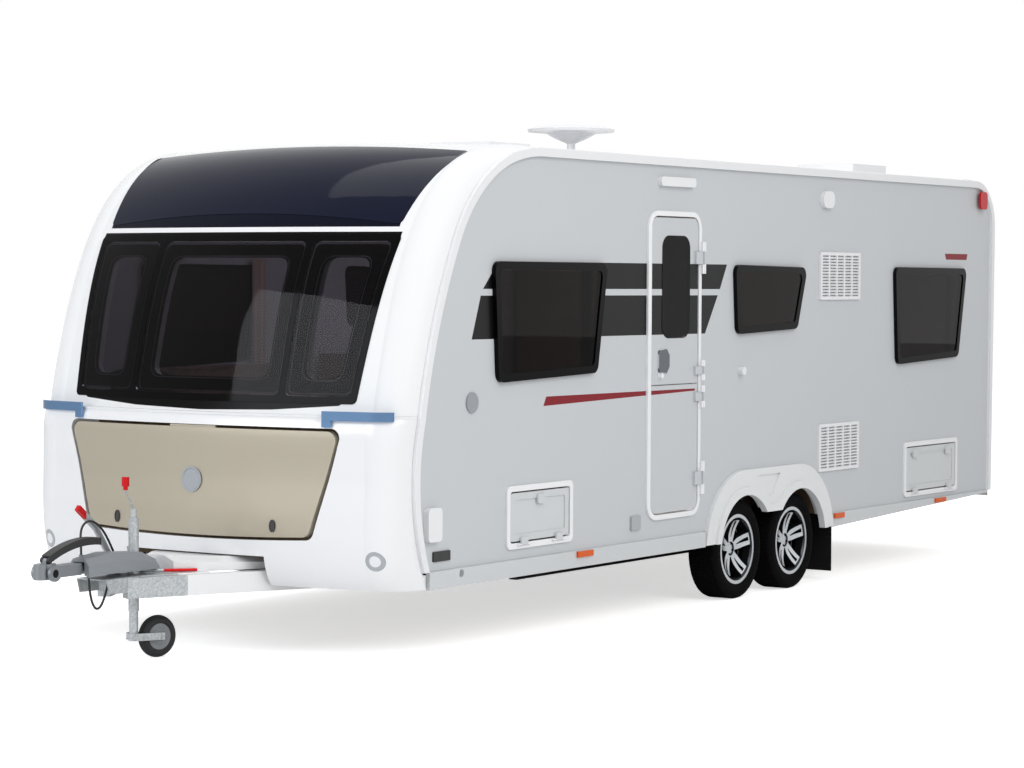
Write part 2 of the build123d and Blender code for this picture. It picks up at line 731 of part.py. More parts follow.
# Louvred vents: two plates with columns of slots
vent_y = (1458, 1983)
vent_levels = (1680, 665)
vent_height = 280
vent_proud = 14
vent_columns = 5
vent_rows = 14
with BuildPart() as fridge_vents:
    for level in vent_levels:
        block((half + seat_gap, half + vent_proud), vent_y, (level, level + vent_height))
    pitch = (vent_y[1] - vent_y[0] - 30) / vent_columns
    step = (vent_height - 30) / vent_rows
    for level in vent_levels:
        with BuildSketch(side_plane(half + vent_proud)):
            with Locations(((vent_y[0] + vent_y[1]) / 2, level + vent_height / 2)):
                with GridLocations(pitch, step, vent_columns, vent_rows):
                    Rectangle(pitch - 16, step * 0.55)
        extrude(amount=-vent_proud, mode=Mode.SUBTRACT)
write(fridge_vents.part, "fridge_vents")


# Trims that follow the front: a cap stands off the skin between two lifts
def cap_section(plane, bow, corner, low, high):
    """The strip between two lifts in front of a skin's section."""
    shoulder = bow - bow_sag * bow / front_bow if bow < front_bow else bow - bow_sag
    flat = half - corner
    with BuildSketch(plane) as section:
        with BuildLine():
            for lift, way in ((high, 1), (low, -1)):
                mid = (half - 0.29 * corner, -corner_bulge * (shoulder + lift))
                reach = shoulder + lift
                ThreePointArc((way * half, 0), (way * mid[0], mid[1]), (way * flat, -reach))
                ThreePointArc((way * flat, -reach), (0, -bow - lift), (-way * flat, -reach))
                ThreePointArc((-way * flat, -reach), (-way * mid[0], mid[1]), (-way * half, 0))
        make_face()
    return section.sketch


trim_inner = 744
trim_outer = 1086
trim_leg = 46
trim_bottom = 1128
trim_top = 1172
trim_foot = 1096
lid_hinge = (-2911, 1083)
lid_pin = 5
hinge_reach = 140
trim_base = Plane(origin=(0, foot_line(1090) - skin_gap, trim_foot), x_dir=(1, 0, 0), z_dir=(0, 0, 1))
with BuildPart() as front_trims:
    extrude(cap_section(trim_base, lower_stations[5][1], front_corner, seat_gap, 15),
            amount=trim_top - trim_foot)
    block((-trim_inner, trim_inner), (-3200, -2500), (0, trim_top), Mode.SUBTRACT)
    for side in (1, -1):
        block((side * (trim_inner + trim_leg), side * half), (-3200, -2400), (0, trim_bottom), Mode.SUBTRACT)
        block((side * trim_outer, side * (half + 1)), (-3200, -2400), (0, trim_top), Mode.SUBTRACT)
write(front_trims.part, "front_trims")

with BuildPart() as front_lid:
    add(lower_shell)
    extrude(lid_face(lid_gap, lid_side_gap), amount=-cut_reach, mode=Mode.INTERSECT)
    rod((-hinge_reach, *lid_hinge), (hinge_reach, *lid_hinge), lid_pin)
    block((-hinge_reach, hinge_reach), (lid_hinge[0] - lid_pin, lid_hinge[0] + lid_pin),
          (lid_hinge[1] - 23, lid_hinge[1]))
write(front_lid.part, "front_lid")

# Front lamps: round lenses at the lower corners are part of the front; these are the other lamps
# Rows: y low, y high, z low, z high of the amber markers on the skirts
marker_rows = [(-1257, -1108, 379, 409), (1646, 1770, 379, 409), (3071, 3226, 382, 409)]
rear_lamp_box = (900, 1046, 760, 1240)
high_marker = (3706, 3816, 2262, 2376)
with BuildPart() as marker_lamps:
    for side in (1, -1):
        for box in marker_rows:
            block((side * (skirt_x[1] + seat_gap), side * (skirt_x[1] + 12)), box[:2], box[2:])
        with BuildSketch(side_plane(side * (half + rail_thickness + 2 * seat_gap))):
            rounded_box(high_marker, 30)
        extrude(amount=side * 14)


def rear_cap(levels, high):
    """A moulding on the rear skin between some heights, standing off it by its thickness."""
    sections = []
    for height in levels:
        level = Plane(origin=(0, rear_line(height) + skin_gap, height), x_dir=(1, 0, 0), z_dir=(0, 0, -1))
        sections.append(cap_section(level, rear_bow, rear_corner, cap_gap, high))
    with BuildPart() as cap:
        loft(sections)
    return cap.part


cap_gap = 0.8
lamp_lift = 18
with BuildPart() as rear_lamps:
    for side in (1, -1):
        with BuildPart(mode=Mode.PRIVATE) as one_lamp:
            add(rear_cap((rear_lamp_box[2] - 10, rear_lamp_box[3] + 10), lamp_lift))
            low, high = sorted((side * rear_lamp_box[0], side * rear_lamp_box[1]))
            extrude(rear_face((low, high, *rear_lamp_box[2:]), 30), amount=rear_reach, mode=Mode.INTERSECT)
        add(one_lamp.part)
    add(marker_lamps.part)
write(rear_lamps.part, "marker_lamps")

# Rear bumper: a moulding across the foot of the rear skin
bumper_levels = (372, 640)
bumper_lift = 20
write(rear_cap(bumper_levels, bumper_lift), "rear_bumper")

# Fittings on the outside: cowl, awning lamp, service box, inlet box, catch, and two roof lights
cowl_box = (1467, 1608, 2219, 2318)
awning_lamp_box = (-433, -58, 2292, 2342)
service_box = (-2592, -2478, 555, 715)
plate_box = (-2520, -2378, 457, 505)
inlet_box = (-698, -603, 474, 549)
catch_place = (491, 1286)
front_boss = (-2193, 1199, 50)
# Rows: x low, x high, y low, y high
roof_lights = [(-200, 200, -640, -240), (250, 650, 2870, 3350)]
roof_light_height = 70
crown_top = roof_height + skin_gap + roof_camber
roof_sag = bow_sag * roof_camber / front_bow
with BuildPart() as wall_fittings:
    face = side_plane(half + seat_gap)
    for box, radius, proud in ((cowl_box, 44, 26), (awning_lamp_box, 24, 26), (service_box, 22, 30),
                               (plate_box, 6, 8), (inlet_box, 8, 12)):
        with BuildSketch(face):
            rounded_box(box, radius)
        extrude(amount=proud)
    rod((half + seat_gap, *catch_place), (half + 34, *catch_place), 22)
    rod((half + seat_gap, *front_boss[:2]), (half + 8, *front_boss[:2]), front_boss[2])
write(wall_fittings.part, "wall_fittings")
with BuildPart() as roof_lights_part:
    for x_low, x_high, y_low, y_high in roof_lights:
        nearest = max(x_low, 0) / (half - front_corner)
        seat = crown_top - roof_sag * nearest ** 2 + seat_gap
        block((x_low, x_high), (y_low, y_high), (seat, crown_top + roof_light_height))

# Flat disc aerial on a short mast
aerial_y = 510
aerial_top = 2690
with BuildPart() as aerial:
    with BuildSketch(Plane.XZ.offset(-aerial_y)):
        with BuildLine():
            Polyline((0, crown_top + 0.5), (70, crown_top + 0.5), (70, crown_top + 16), (24, crown_top + 24),
                     (24, aerial_top - 112), (90, aerial_top - 84), (150, aerial_top - 52),
                     (250, aerial_top - 44), (254, aerial_top - 30), (200, aerial_top - 12), (0, aerial_top))
            Line((0, aerial_top), (0, crown_top + 0.5))
        make_face()
    revolve(axis=Axis((0, aerial_y, 0), (0, 0, 1)))
    add(roof_lights_part.part)
write(aerial.part, "roof_fittings")

# Chassis: two long rails with a row of holes, and cross members
rail_bottom = 222
rail_shallow = 330
# The rails' lower edge, from front to rear: y, z
rail_line = [(-2480, rail_shallow), (-1250, rail_shallow), (-1100, rail_bottom), (1800, rail_bottom),
             (1950, rail_shallow), (3700, rail_shallow)]
rail_span = (rail_line[0][0], rail_line[-1][0])
arm_reach = 150
tube_z = 330
tube_radius = 44
rail_holes = (-760, 140, 7, 32)
cross_members = (-2340, 3600)
with BuildPart() as chassis_rails:
    for side in (1, -1):
        block((side * rail_x, side * (rail_x + rail_flange)), rail_span, (rail_top - sheet, rail_top))
        with BuildSketch(side_plane(side * rail_x)):
            Polygon(*rail_line, (rail_span[1], rail_top), (rail_span[0], rail_top), align=None)
        extrude(amount=side * sheet)
        with BuildSketch(side_plane(side * rail_x)):
            Polygon(*rail_line, *[(y, z + sheet) for y, z in reversed(rail_line)], align=None)
        extrude(amount=side * rail_flange)
        for y in axle_y:
            rod((side * (rail_x - 20), y - arm_reach, tube_z), (side * (rail_x + 20), y - arm_reach, tube_z),
                tube_radius + seat_gap, Mode.SUBTRACT)
        start, pitch, count, radius = rail_holes
        for turn in range(count):
            y = start + turn * pitch
            rod((side * (rail_x - 20), y, 320), (side * (rail_x + 20), y, 320), radius, Mode.SUBTRACT)
    for y in cross_members:
        block((-rail_x, rail_x), (y, y + sheet), (rail_top - 90, rail_top))
        block((-rail_x, rail_x), (y, y + 50), (rail_top - sheet, rail_top))

# Drawbar frame: two box members that run in to the hitch, joined by a folded plate
frame_z = 352
member_width = 60
member_depth = 96
nose_x = 66
jockey_bore = 27
cover_rail = 430
cover_deck = 484
handle_axis = (-3944, 515)
clamp_z = 414.5
clamp_reach = (190, -3110)
nose_y = -3480
plate_y = (-3640, -3060)
plate_x = 92
plate_bend = -3400
plate_wide = 230
cable_radius = 5.5
below_seat = (40, -3568)
with BuildPart() as a_frame:
    for side in (1, -1):
        bar((side * (rail_x - 40), -2370, frame_z), (side * nose_x, nose_y, frame_z), member_depth, member_width,
            (0, 0, 1))
        block((side * (rail_x - 40), side * (rail_x - seat_gap)), (-2440, -2372), (frame_z - 30, frame_z + 40))
    with BuildSketch(Plane.XY.offset(frame_z + member_depth / 2 - 1)):
        Polygon((-plate_x, plate_y[0]), (plate_x, plate_y[0]), (plate_x, plate_bend), (plate_wide, plate_y[1]),
                (-plate_wide, plate_y[1]), (-plate_x, plate_bend), align=None)
    extrude(amount=sheet + 1)
    for side in (1, -1):
        with BuildSketch(side_plane(side * (plate_x - sheet))):
            Polygon((plate_y[0], 404), (plate_y[0] + 20, 336), (plate_y[0] + 330, 330),
                    (plate_y[0] + 420, 404), align=None)
        extrude(amount=side * sheet)
    rod((0, jockey_y, 200), (0, jockey_y, 600), jockey_bore, Mode.SUBTRACT)
    rod((*below_seat, frame_z + member_depth / 2), (*below_seat, 391.8), 9)
write(a_frame.part, "a_frame")

# White fairing over the drawbar, in front of the body
fairing_sections = [(-2620, 400, 404.5, 452), (-2900, 300, 404.5, 466), (-3180, 104, 404.5, 480)]
with BuildPart() as fairing:
    for y, reach, low, high in fairing_sections:
        with BuildSketch(Plane.XZ.offset(-y)):
            with BuildLine():
                Polyline((-reach, low), (-reach, high - 26), (-reach + 60, high), (reach - 60, high),
                         (reach, high - 26), (reach, low), (-reach, low))
            make_face()
    loft()
write(fairing.part, "fairing")

# Grey cover over the hitch mechanism
# Rows: y, half width, z low, z high
cover_sections = [(-3726, 62, 428, 504), (-3560, 72, 428, 522), (-3345, 76, 425, 508), (-3250, 78, 425, 470)]
jockey_hole = 27
with BuildPart() as hitch_cover:
    for y, reach, low, high in cover_sections:
        with BuildSketch(Plane.XZ.offset(-y)):
            with BuildLine():
                Polyline((-reach, low), (-reach, high - 34), (-reach + 26, high), (reach - 26, high),
                         (reach, high - 34), (reach, low), (-reach, low))
            make_face()
    loft(ruled=True)
    rod((0, jockey_y, 400), (0, jockey_y, 560), jockey_hole, Mode.SUBTRACT)
    block((-34, 34), (-3800, -3380), (400, cover_deck + 6), Mode.SUBTRACT)
    rod((-34, -3672, 500), (-34, -3672, 517.2), 10)
    rod((-60, -3410, 480), (-61, -3416, 504), 10)
    rod((48, -3712, 440), (48, -3712, 418.4), 9)
write(hitch_cover.part, "hitch_cover")

# Coupling head: a cast housing round the ball, its shank and the two friction pads
head_y = -3944
head_reach = 68.3
pad_x = (42, 58)
pad_radius = 37
with BuildPart() as coupling_head:
    with BuildSketch(Plane.XY.offset(coupling_z - 28)):
        with Locations((0, head_y)):
            Circle(44)
        with Locations((0, head_y - head_reach + 34)):
            Circle(34)
        with Locations((0, head_y - 16)):
            Rectangle(66, 34)
    extrude(amount=70)
    block((-31, 31), (head_y, -3742), (coupling_z - 24, coupling_z + 30))
    rod((0, -3760, coupling_z), (0, -3400, coupling_z), 25)
    for side in (1, -1):
        rod((side * 30, head_y, coupling_z), (side * pad_x[0], head_y, coupling_z), 20)
        rod((side * pad_x[0], head_y, coupling_z), (side * pad_x[1], head_y, coupling_z), pad_radius)
    with Locations((0, head_y, coupling_z - 28)):
        Cylinder(ball_radius, 28, align=(Align.CENTER, Align.CENTER, Align.MIN), mode=Mode.SUBTRACT)
    with Locations((0, head_y, coupling_z)):
        Sphere(ball_radius, mode=Mode.SUBTRACT)
    block((-12, 12), (handle_axis[0] - 14, handle_axis[0] + 14), (coupling_z + 28, handle_axis[1]))
    rod((-12, *handle_axis), (12, *handle_axis), 11)
write(coupling_head.part, "coupling_head")

# Coupling handle: a curved black grip hinged on the head
handle_points = [(-3944, 520), (-3850, 556), (-3730, 580), (-3600, 577)]
handle_width = 20
with BuildPart() as coupling_handle:
    with BuildSketch(side_plane(-handle_width - 6)):
        with BuildLine():
            Spline(*[(y, z + 17) for y, z in handle_points])
            Line((handle_points[-1][0], handle_points[-1][1] + 17), (handle_points[-1][0], handle_points[-1][1] - 17))
            Spline(*[(y, z - 17) for y, z in reversed(handle_points)])
            Line((handle_points[0][0], handle_points[0][1] - 17), (handle_points[0][0], handle_points[0][1] + 17))
        make_face()
    extrude(amount=2 * (handle_width + 6))
    for side in (1, -1):
        rod((side * (12 + seat_gap), *handle_axis), (side * (handle_width + 6), *handle_axis), 14)
    block((-12 - seat_gap, 12 + seat_gap), (handle_axis[0] - 22, handle_axis[0] + 24),
          (handle_axis[1] - 30, handle_axis[1] + 17), Mode.SUBTRACT)
write(coupling_handle.part, "coupling_handle")

# Handbrake: a flat lever that leans forward from its quadrant, with a grip
brake_x = -90
brake_foot = (-3403, 476)
brake_knee = (-3515, 635)
brake_tip = (-3634, 728)
with BuildPart() as handbrake:
    bar((brake_x, *brake_foot), (brake_x, *brake_knee), 12, 30)
    bar((brake_x, brake_knee[0] + 8, brake_knee[1] - 8), (brake_x, *brake_tip), 22, 28)
    block((brake_x - 6, brake_x + 6), (brake_foot[0] - 34, brake_foot[0] + 60), (frame_z + member_depth / 2 + sheet + seat_gap, brake_foot[1] + 20))
write(handbrake.part, "handbrake")

# Jockey wheel: outer tube with its clamp and crank, a sliding inner tube, a swivelling fork, the wheel
tube_outer = 24.5
tube_inner = 21.5
inner_radius = 21
tube_span = (228, 665)
crank_top = 861
fork_y = jockey_y
turn = math.radians(jockey_turn)
wheel_centre = (-jockey_trail * math.sin(turn), jockey_y + jockey_trail * math.cos(turn), jockey_radius)
spin_axis = (math.cos(turn), math.sin(turn), 0)
with BuildPart() as jockey_tube:
    rod((0, jockey_y, tube_span[0]), (0, jockey_y, tube_span[1]), tube_outer)
    rod((0, jockey_y, tube_span[0]), (0, jockey_y, tube_span[1] - 30), tube_inner, Mode.SUBTRACT)
    rod((0, jockey_y, tube_span[1] - 1), (0, jockey_y, tube_span[1] + 44), 15)
    rod((0, jockey_y, tube_span[1] + 40), (0, jockey_y - 58, 800), 5)
    rod((0, jockey_y - 58, 796), (0, jockey_y - 58, 806), 5)
    rod((0, jockey_y - 58, 800), (0, jockey_y - 58, 822), 11)
    rod((0, jockey_y - 58, 818), (0, jockey_y - 58, crank_top), 18)
    with BuildSketch(Plane.XY.offset(clamp_z - 9.5)):
        with Locations((0, jockey_y)):
            Circle(tube_outer + 5)
            Circle(tube_outer - 1, mode=Mode.SUBTRACT)
    extrude(amount=19)
    rod((0, jockey_y + 36, clamp_z), (clamp_reach[0], clamp_reach[1], clamp_z), 7)
    block((-9, 9), (jockey_y + tube_outer + 1, jockey_y + tube_outer + 34), (clamp_z - 9.5, clamp_z + 9.5))
write(jockey_tube.part, "jockey_tube")
with BuildPart() as jockey_inner:
    rod((0, jockey_y, 124), (0, jockey_y, 520), inner_radius)
write(jockey_inner.part, "jockey_inner")
cheek_x = jockey_width / 2 + 6
with BuildPart() as jockey_fork:
    with BuildPart(mode=Mode.PRIVATE) as plain_fork:
        rod((0, 0, 88), (0, 0, 124 - seat_gap), inner_radius + 3)
        block((-cheek_x - 5, cheek_x + 5), (-14, 14), (96, 122))
        for side in (1, -1):
            bar((side * (cheek_x + 2.5), -14, 108), (side * (cheek_x + 2.5), jockey_trail + 18, 102), 5, 34)
        rod((-cheek_x - 9, jockey_trail, jockey_radius), (cheek_x + 9, jockey_trail, jockey_radius), 6)
    add(plain_fork.part.moved(Location((0, jockey_y, 0), (0, 0, jockey_turn))))
write(jockey_fork.part, "jockey_fork")
with BuildPart() as jockey_wheel:
    with BuildPart(mode=Mode.PRIVATE) as plain_wheel:
        with BuildSketch(Plane.XY):
            with BuildLine():
                rim = jockey_width / 2
                Polyline((0, 0), (rim, 0))
                Polyline((rim, 0), (rim, 30), (rim - 8, 44), (rim - 8, 60), (rim, 68), (rim, 82))
                ThreePointArc((rim, 82), (0, jockey_radius), (-rim, 82))
                Polyline((-rim, 82), (-rim, 68), (8 - rim, 60), (8 - rim, 44), (-rim, 30), (-rim, 0), (0, 0))
            make_face()
        revolve(axis=Axis.X)
        rod((-60, 0, 0), (60, 0, 0), 6.3, Mode.SUBTRACT)
    add(plain_wheel.part.moved(Location(wheel_centre, (0, 0, jockey_turn))))
write(jockey_wheel.part, "jockey_wheel")

# Axles: a cross tube each, trailing arms, brake drums and stub hubs
arm_x = (872, 896)
drum_x = (900, 972)
drum_radius = 118
hub_x = 1040
hub_radius = 31
with BuildPart() as axles:
    for y in axle_y:
        rod((-arm_x[1], y - arm_reach, tube_z), (arm_x[1], y - arm_reach, tube_z), tube_radius)
        for side in (1, -1):
            bar(((side * (arm_x[0] + arm_x[1]) / 2), y - arm_reach, tube_z),
                (side * (arm_x[0] + arm_x[1]) / 2, y, tyre_radius), arm_x[1] - arm_x[0], 72)
            rod((side * arm_x[0], y, tyre_radius), (side * drum_x[0], y, tyre_radius), 50)
            rod((side * drum_x[0], y, tyre_radius), (side * drum_x[1], y, tyre_radius), drum_radius)
            rod((side * drum_x[1], y, tyre_radius), (side * hub_x, y, tyre_radius), hub_radius)
            block((side * (rail_x + 4.5), side * (rail_x + 30)), (y - arm_reach - 60, y - arm_reach + 60),
                  (rail_bottom + sheet + 0.5, tube_z))
write(axles.part, "axles")

# Wheels: a dished alloy rim with five pairs of spokes, and a tyre that seats between its flanges
rim_half = rim_width / 2
seat_radius = 184
well_radius = 164
hub_bore = hub_radius + seat_gap
spoke_pairs = 5
pair_slot = 7
window_span = (82, 158)
with BuildPart() as plain_rim:
    with BuildSketch(Plane.XY):
        with BuildLine():
            Polyline((-rim_half, well_radius - 8), (-rim_half, rim_radius + 2), (-rim_half + 6, rim_radius + 2),
                     (-rim_half + 6, seat_radius), (-30, seat_radius), (-16, well_radius), (20, well_radius),
                     (34, seat_radius), (rim_half - 6, seat_radius), (rim_half - 6, rim_radius + 2),
                     (rim_half, rim_radius + 2), (rim_half, seat_radius - 6), (rim_half - 26, well_radius - 4),
                     (rim_half - 26, well_radius - 8), (-rim_half, well_radius - 8))
        make_face()
    revolve(axis=Axis.X)
    with BuildSketch(Plane.XY):
        with BuildLine():
            Polyline((8, 0), (8, 70), (26, well_radius - 2), (rim_half - 6, well_radius - 2))
            ThreePointArc((rim_half - 6, well_radius - 2), (46, 100), (38, 40))
            Polyline((38, 40), (30, 32), (30, 0), (8, 0))
        make_face()
    revolve(axis=Axis.X)
    with BuildSketch(Plane.YZ):
        with PolarLocations(0, spoke_pairs, 90 + 180 / spoke_pairs):
            Polygon((46, 5), (window_span[0], 20), (window_span[1], 70), (window_span[1] + 6, 62),
                    (window_span[1] + 12, 0), (window_span[1] + 6, -62), (window_span[1], -70),
                    (window_span[0], -20), (46, -5), align=None)
    extrude(amount=120, mode=Mode.SUBTRACT)
    with BuildSketch(Plane.YZ):
        with PolarLocations(0, spoke_pairs, 90):
            with Locations((112, 0)):
                Polygon((-46, -2.5), (-46, 2.5), (44, 12), (44, -12), align=None)
    extrude(amount=120, mode=Mode.SUBTRACT)
    with BuildSketch(Plane.YZ):
        with PolarLocations(33, 5, 90 + 180 / spoke_pairs):
            Circle(8)
    extrude(amount=60, mode=Mode.SUBTRACT)
    rod((-5, 0, 0), (hub_x - wheel_x + 1, 0, 0), hub_bore, Mode.SUBTRACT)
with BuildPart() as plain_tyre:
    with BuildSketch(Plane.XY):
        with BuildLine():
            bead = rim_half - 6 - seat_gap
            side_out = tyre_width / 2
            Polyline((bead, seat_radius + seat_gap), (bead, rim_radius + 3))
            ThreePointArc((bead, rim_radius + 3), (side_out, 234), (side_out - 16, tyre_radius - 8))
            ThreePointArc((side_out - 16, tyre_radius - 8), (0, tyre_radius), (16 - side_out, tyre_radius - 8))
            ThreePointArc((16 - side_out, tyre_radius - 8), (-side_out, 234), (-bead, rim_radius + 3))
            Polyline((-bead, rim_radius + 3), (-bead, seat_radius + seat_gap), (bead, seat_radius + seat_gap))
        make_face()
    revolve(axis=Axis.X)
wheel_names = [("front_left", 1, axle_y[0]), ("rear_left", 1, axle_y[1]), ("front_right", -1, axle_y[0]),
               ("rear_right", -1, axle_y[1])]
for name, side, y in wheel_names:
    place = Location((side * wheel_x, y, tyre_radius), (0, 0, 0 if side == 1 else 180))
    write(plain_rim.part.moved(place), f"rim_{name}")
    write(plain_tyre.part.moved(place), f"tyre_{name}")

# Mud flaps behind the rear wheels
flap = ((930, 1110), (1690, 1696), (60, 330))
with BuildPart() as mud_flaps:
    for side in (1, -1):
        block([side * x for x in flap[0]], flap[1], flap[2])
        block([side * x for x in flap[0]], (flap[1][0] - 20, flap[1][1]), (flap[2][1] - 4, skirt_top - seat_gap))
write(mud_flaps.part, "mud_flaps")

# Corner steadies: a bracket under the floor and a leg that swings down, with a foot plate
steady_x = 820
steady_z = 372
steady_length = 520
steady_drop = 4
# Rows: name, side, y of the pin, way that the stowed leg points along Y
steadies = [("steady_front_left", 1, -2250, 1), ("steady_front_right", -1, -2250, 1),
            ("steady_rear_left", 1, 3560, -1), ("steady_rear_right", -1, 3560, -1)]
with BuildPart() as steady_brackets:
    add(chassis_rails.part)
    for _, side, pin_y, way in steadies:
        middle = side * steady_x
        for edge in (-1, 1):
            wide = (middle + edge * 33, middle + edge * 37)
            block(wide, (pin_y - 30, pin_y + 30), (steady_z - 20, skirt_top - seat_gap))
        block((middle - 37, middle + 37), (pin_y - 30, pin_y + 30), (skirt_top - 5, skirt_top - seat_gap))
        rod((middle - 37, pin_y, steady_z), (middle + 37, pin_y, steady_z), 7)
write(steady_brackets.part, "chassis_rails")
for name, side, pin_y, way in steadies:
    middle = side * steady_x
    end_y = pin_y + way * steady_length
    with BuildPart() as steady:
        block((middle - 27, middle + 27), (pin_y, end_y), (steady_z - 16, steady_z + 16))
        rod((middle - 27, pin_y, steady_z), (middle + 27, pin_y, steady_z), 16)
        block((middle - 23, middle + 23), (pin_y - way * 20, end_y + way), (steady_z - 30, steady_z + 11),
              Mode.SUBTRACT)
        rod((middle - 27, pin_y, steady_z), (middle - 22, pin_y, steady_z), 16)
        rod((middle + 22, pin_y, steady_z), (middle + 27, pin_y, steady_z), 16)
        block((middle - 38, middle + 38), (end_y, end_y + way * 5), (steady_z - 34, steady_z + 30))
        rod((middle - 40, pin_y, steady_z), (middle + 40, pin_y, steady_z), 7 + seat_gap, Mode.SUBTRACT)
    write(steady.part, name)

# Furniture: seat boxes, kitchen, cupboards and the bed base, on the floor
deck = floor_top + seat_gap
# Rows: x low, x high, y low, y high, z high
units = [(480, 1060, -2380, -640, 830), (-1060, -480, -2380, -640, 830), (-470, 470, -2500, -2230, 830),
         (-1060, -520, -500, 180, 1360), (500, 1060, 1560, 2030, 2150), (-1060, -500, 1560, 2030, 2150),
         (-700, 700, 2420, 3860, 830)]
with BuildPart() as furniture:
    for x_low, x_high, y_low, y_high, top in units:
        block((x_low, x_high), (y_low, y_high), (deck, top))
    block((-880, 880), (-2590, -2568), (deck, 1130))
write(furniture.part, "furniture")

# Cushions on the seat boxes and the bed, and the backrests behind the front and side windows
cushion_gap = 2
cushion_top = 950
# Rows: x low, x high, y low, y high, z low, z high
cushions_table = [(484, 1056, -2376, -644, 830, cushion_top), (-1056, -484, -2376, -644, 830, cushion_top),
                  (-466, 466, -2496, -2234, 830, cushion_top), (-690, 690, 2430, 3840, 830, 1010),
                  (930, 1050, -2200, -700, 952, 1320), (-1050, -930, -2200, -700, 952, 1320),
                  (480, 900, -2520, -2400, 952, 1330), (-900, -480, -2520, -2400, 952, 1330)]
with BuildPart() as cushions:
    for x_low, x_high, y_low, y_high, low, high in cushions_table:
        block((x_low, x_high), (y_low, y_high), (low + cushion_gap, high))
write(cushions.part, "cushions")

# Curtains: drawn back beside the windows
# Rows: x, y low, y high, z low, z high
curtain_table = [(1080, -2010, -1900, 1290, 1900), (1080, -1110, -990, 1290, 1900),
                 (1080, 2520, 2620, 1290, 1900), (1080, 3360, 3460, 1290, 1900)]
curtain_thick = 30
with BuildPart() as curtains:
    for x, y_low, y_high, low, high in curtain_table:
        for side in (1, -1):
            block((side * x, side * (x - curtain_thick)), (y_low, y_high), (low, high))
write(curtains.part, "curtains")

# Cables: each is a round tube along straight runs joined by arcs
# Rows: x, y, z
upper_route = [(-34, -3672, 518), (-38, -3669, 560), (-50, -3660, 606), (-60, -3636, 646), (-63, -3592, 668),
               (-63, -3542, 656), (-62, -3494, 620), (-62, -3452, 568), (-61, -3416, 506.5)]
lower_route = [(48, -3712, 417.7), (47, -3708, 380), (45, -3698, 338), (43, -3682, 296), (42, -3656, 268),
               (41, -3626, 274), (40, -3602, 306), (40, -3582, 346), (40, -3568, 389.7)]


def cable_tube(name, route, radius):
    """A cable's tube; each arc is as large as the runs beside it allow."""
    points = [Vector(*point) for point in route]
    arcs = []
    for before, here, after in zip(points, points[1:], points[2:]):
        bend = math.radians((here - before).get_angle(after - here))
        shorter = min((here - before).length, (after - here).length)
        arcs.append(0.45 * shorter / math.tan(bend / 2))
    with BuildPart() as tube:
        with BuildLine() as line:
            FilletPolyline(*points, radius=arcs)
        path = line.wires()[0]
        with BuildSketch(Plane(origin=points[0], z_dir=points[1] - points[0])):
            Circle(radius)
        sweep(path=path)
    write(tube.part, name)


cable_tube("brake_cable", upper_route, cable_radius)
cable_tube("lighting_cable", lower_route, cable_radius)
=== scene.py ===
"""Looks for a twin-axle touring caravan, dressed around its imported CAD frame.

Lengths are in metres in the frame's axes: Z up, -Y towards the coupling and +X towards the door side.
"""

import logging
import math
from dataclasses import dataclass, replace
from enum import Enum
from functools import cache
from typing import Any, Iterable

import bmesh
import bpy
from mathutils import Matrix, Vector
from mathutils.bvhtree import BVHTree


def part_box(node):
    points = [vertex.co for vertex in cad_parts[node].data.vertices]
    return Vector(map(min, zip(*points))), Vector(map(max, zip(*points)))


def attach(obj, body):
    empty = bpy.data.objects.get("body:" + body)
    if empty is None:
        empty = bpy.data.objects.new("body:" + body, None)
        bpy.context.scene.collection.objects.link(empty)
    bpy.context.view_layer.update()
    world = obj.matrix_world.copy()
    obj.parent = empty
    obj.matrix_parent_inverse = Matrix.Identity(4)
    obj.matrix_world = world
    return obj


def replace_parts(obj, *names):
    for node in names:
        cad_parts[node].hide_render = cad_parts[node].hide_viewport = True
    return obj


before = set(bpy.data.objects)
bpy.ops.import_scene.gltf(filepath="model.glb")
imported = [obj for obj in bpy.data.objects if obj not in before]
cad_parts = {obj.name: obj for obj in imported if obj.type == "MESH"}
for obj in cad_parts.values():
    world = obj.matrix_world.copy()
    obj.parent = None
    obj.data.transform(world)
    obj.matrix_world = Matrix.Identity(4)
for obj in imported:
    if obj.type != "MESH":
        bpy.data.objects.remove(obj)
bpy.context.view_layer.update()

log = logging.getLogger("caravan")
SHELL = "body_shell"
MM = 0.001
SAME_POINT = 0.01 * MM


def srgb(code: str) -> tuple[float, float, float, float]:
    """Turns an sRGB hex colour into the linear values that a shader takes.

    Args:
        code: The colour as "#RRGGBB".

    Returns:
        Red, green, blue and an alpha of 1.
    """
    values = [int(code[at:at + 2], 16) / 255 for at in (1, 3, 5)]
    linear = [v / 12.92 if v <= 0.04045 else ((v + 0.055) / 1.055) ** 2.4 for v in values]
    return (*linear, 1.0)


def add_node(tree: bpy.types.NodeTree, kind: str, inputs: dict[Any, Any] | None = None,
             **settings: Any) -> bpy.types.Node:
    """Adds one node with its settings, and fills its inputs with values or links.

    Args:
        tree: The node tree that takes the node.
        kind: The node's type name.
        inputs: A value, or another node's output socket, for each input.
        settings: The node's own properties.

    Returns:
        The new node.
    """
    node = tree.nodes.new(kind)
    for key, value in settings.items():
        setattr(node, key, value)
    for key, value in (inputs or {}).items():
        if isinstance(value, bpy.types.NodeSocket):
            tree.links.new(value, node.inputs[key])
        else:
            node.inputs[key].default_value = value
    return node


def add_math(tree: bpy.types.NodeTree, operation: str, *values: Any) -> bpy.types.NodeSocket:
    """Adds one math node.

    Args:
        tree: The node tree that takes the node.
        operation: The operation's name.
        values: A number, or another node's output socket, for each input.

    Returns:
        The result's socket.
    """
    return add_node(tree, "ShaderNodeMath", dict(enumerate(values)), operation=operation).outputs[0]


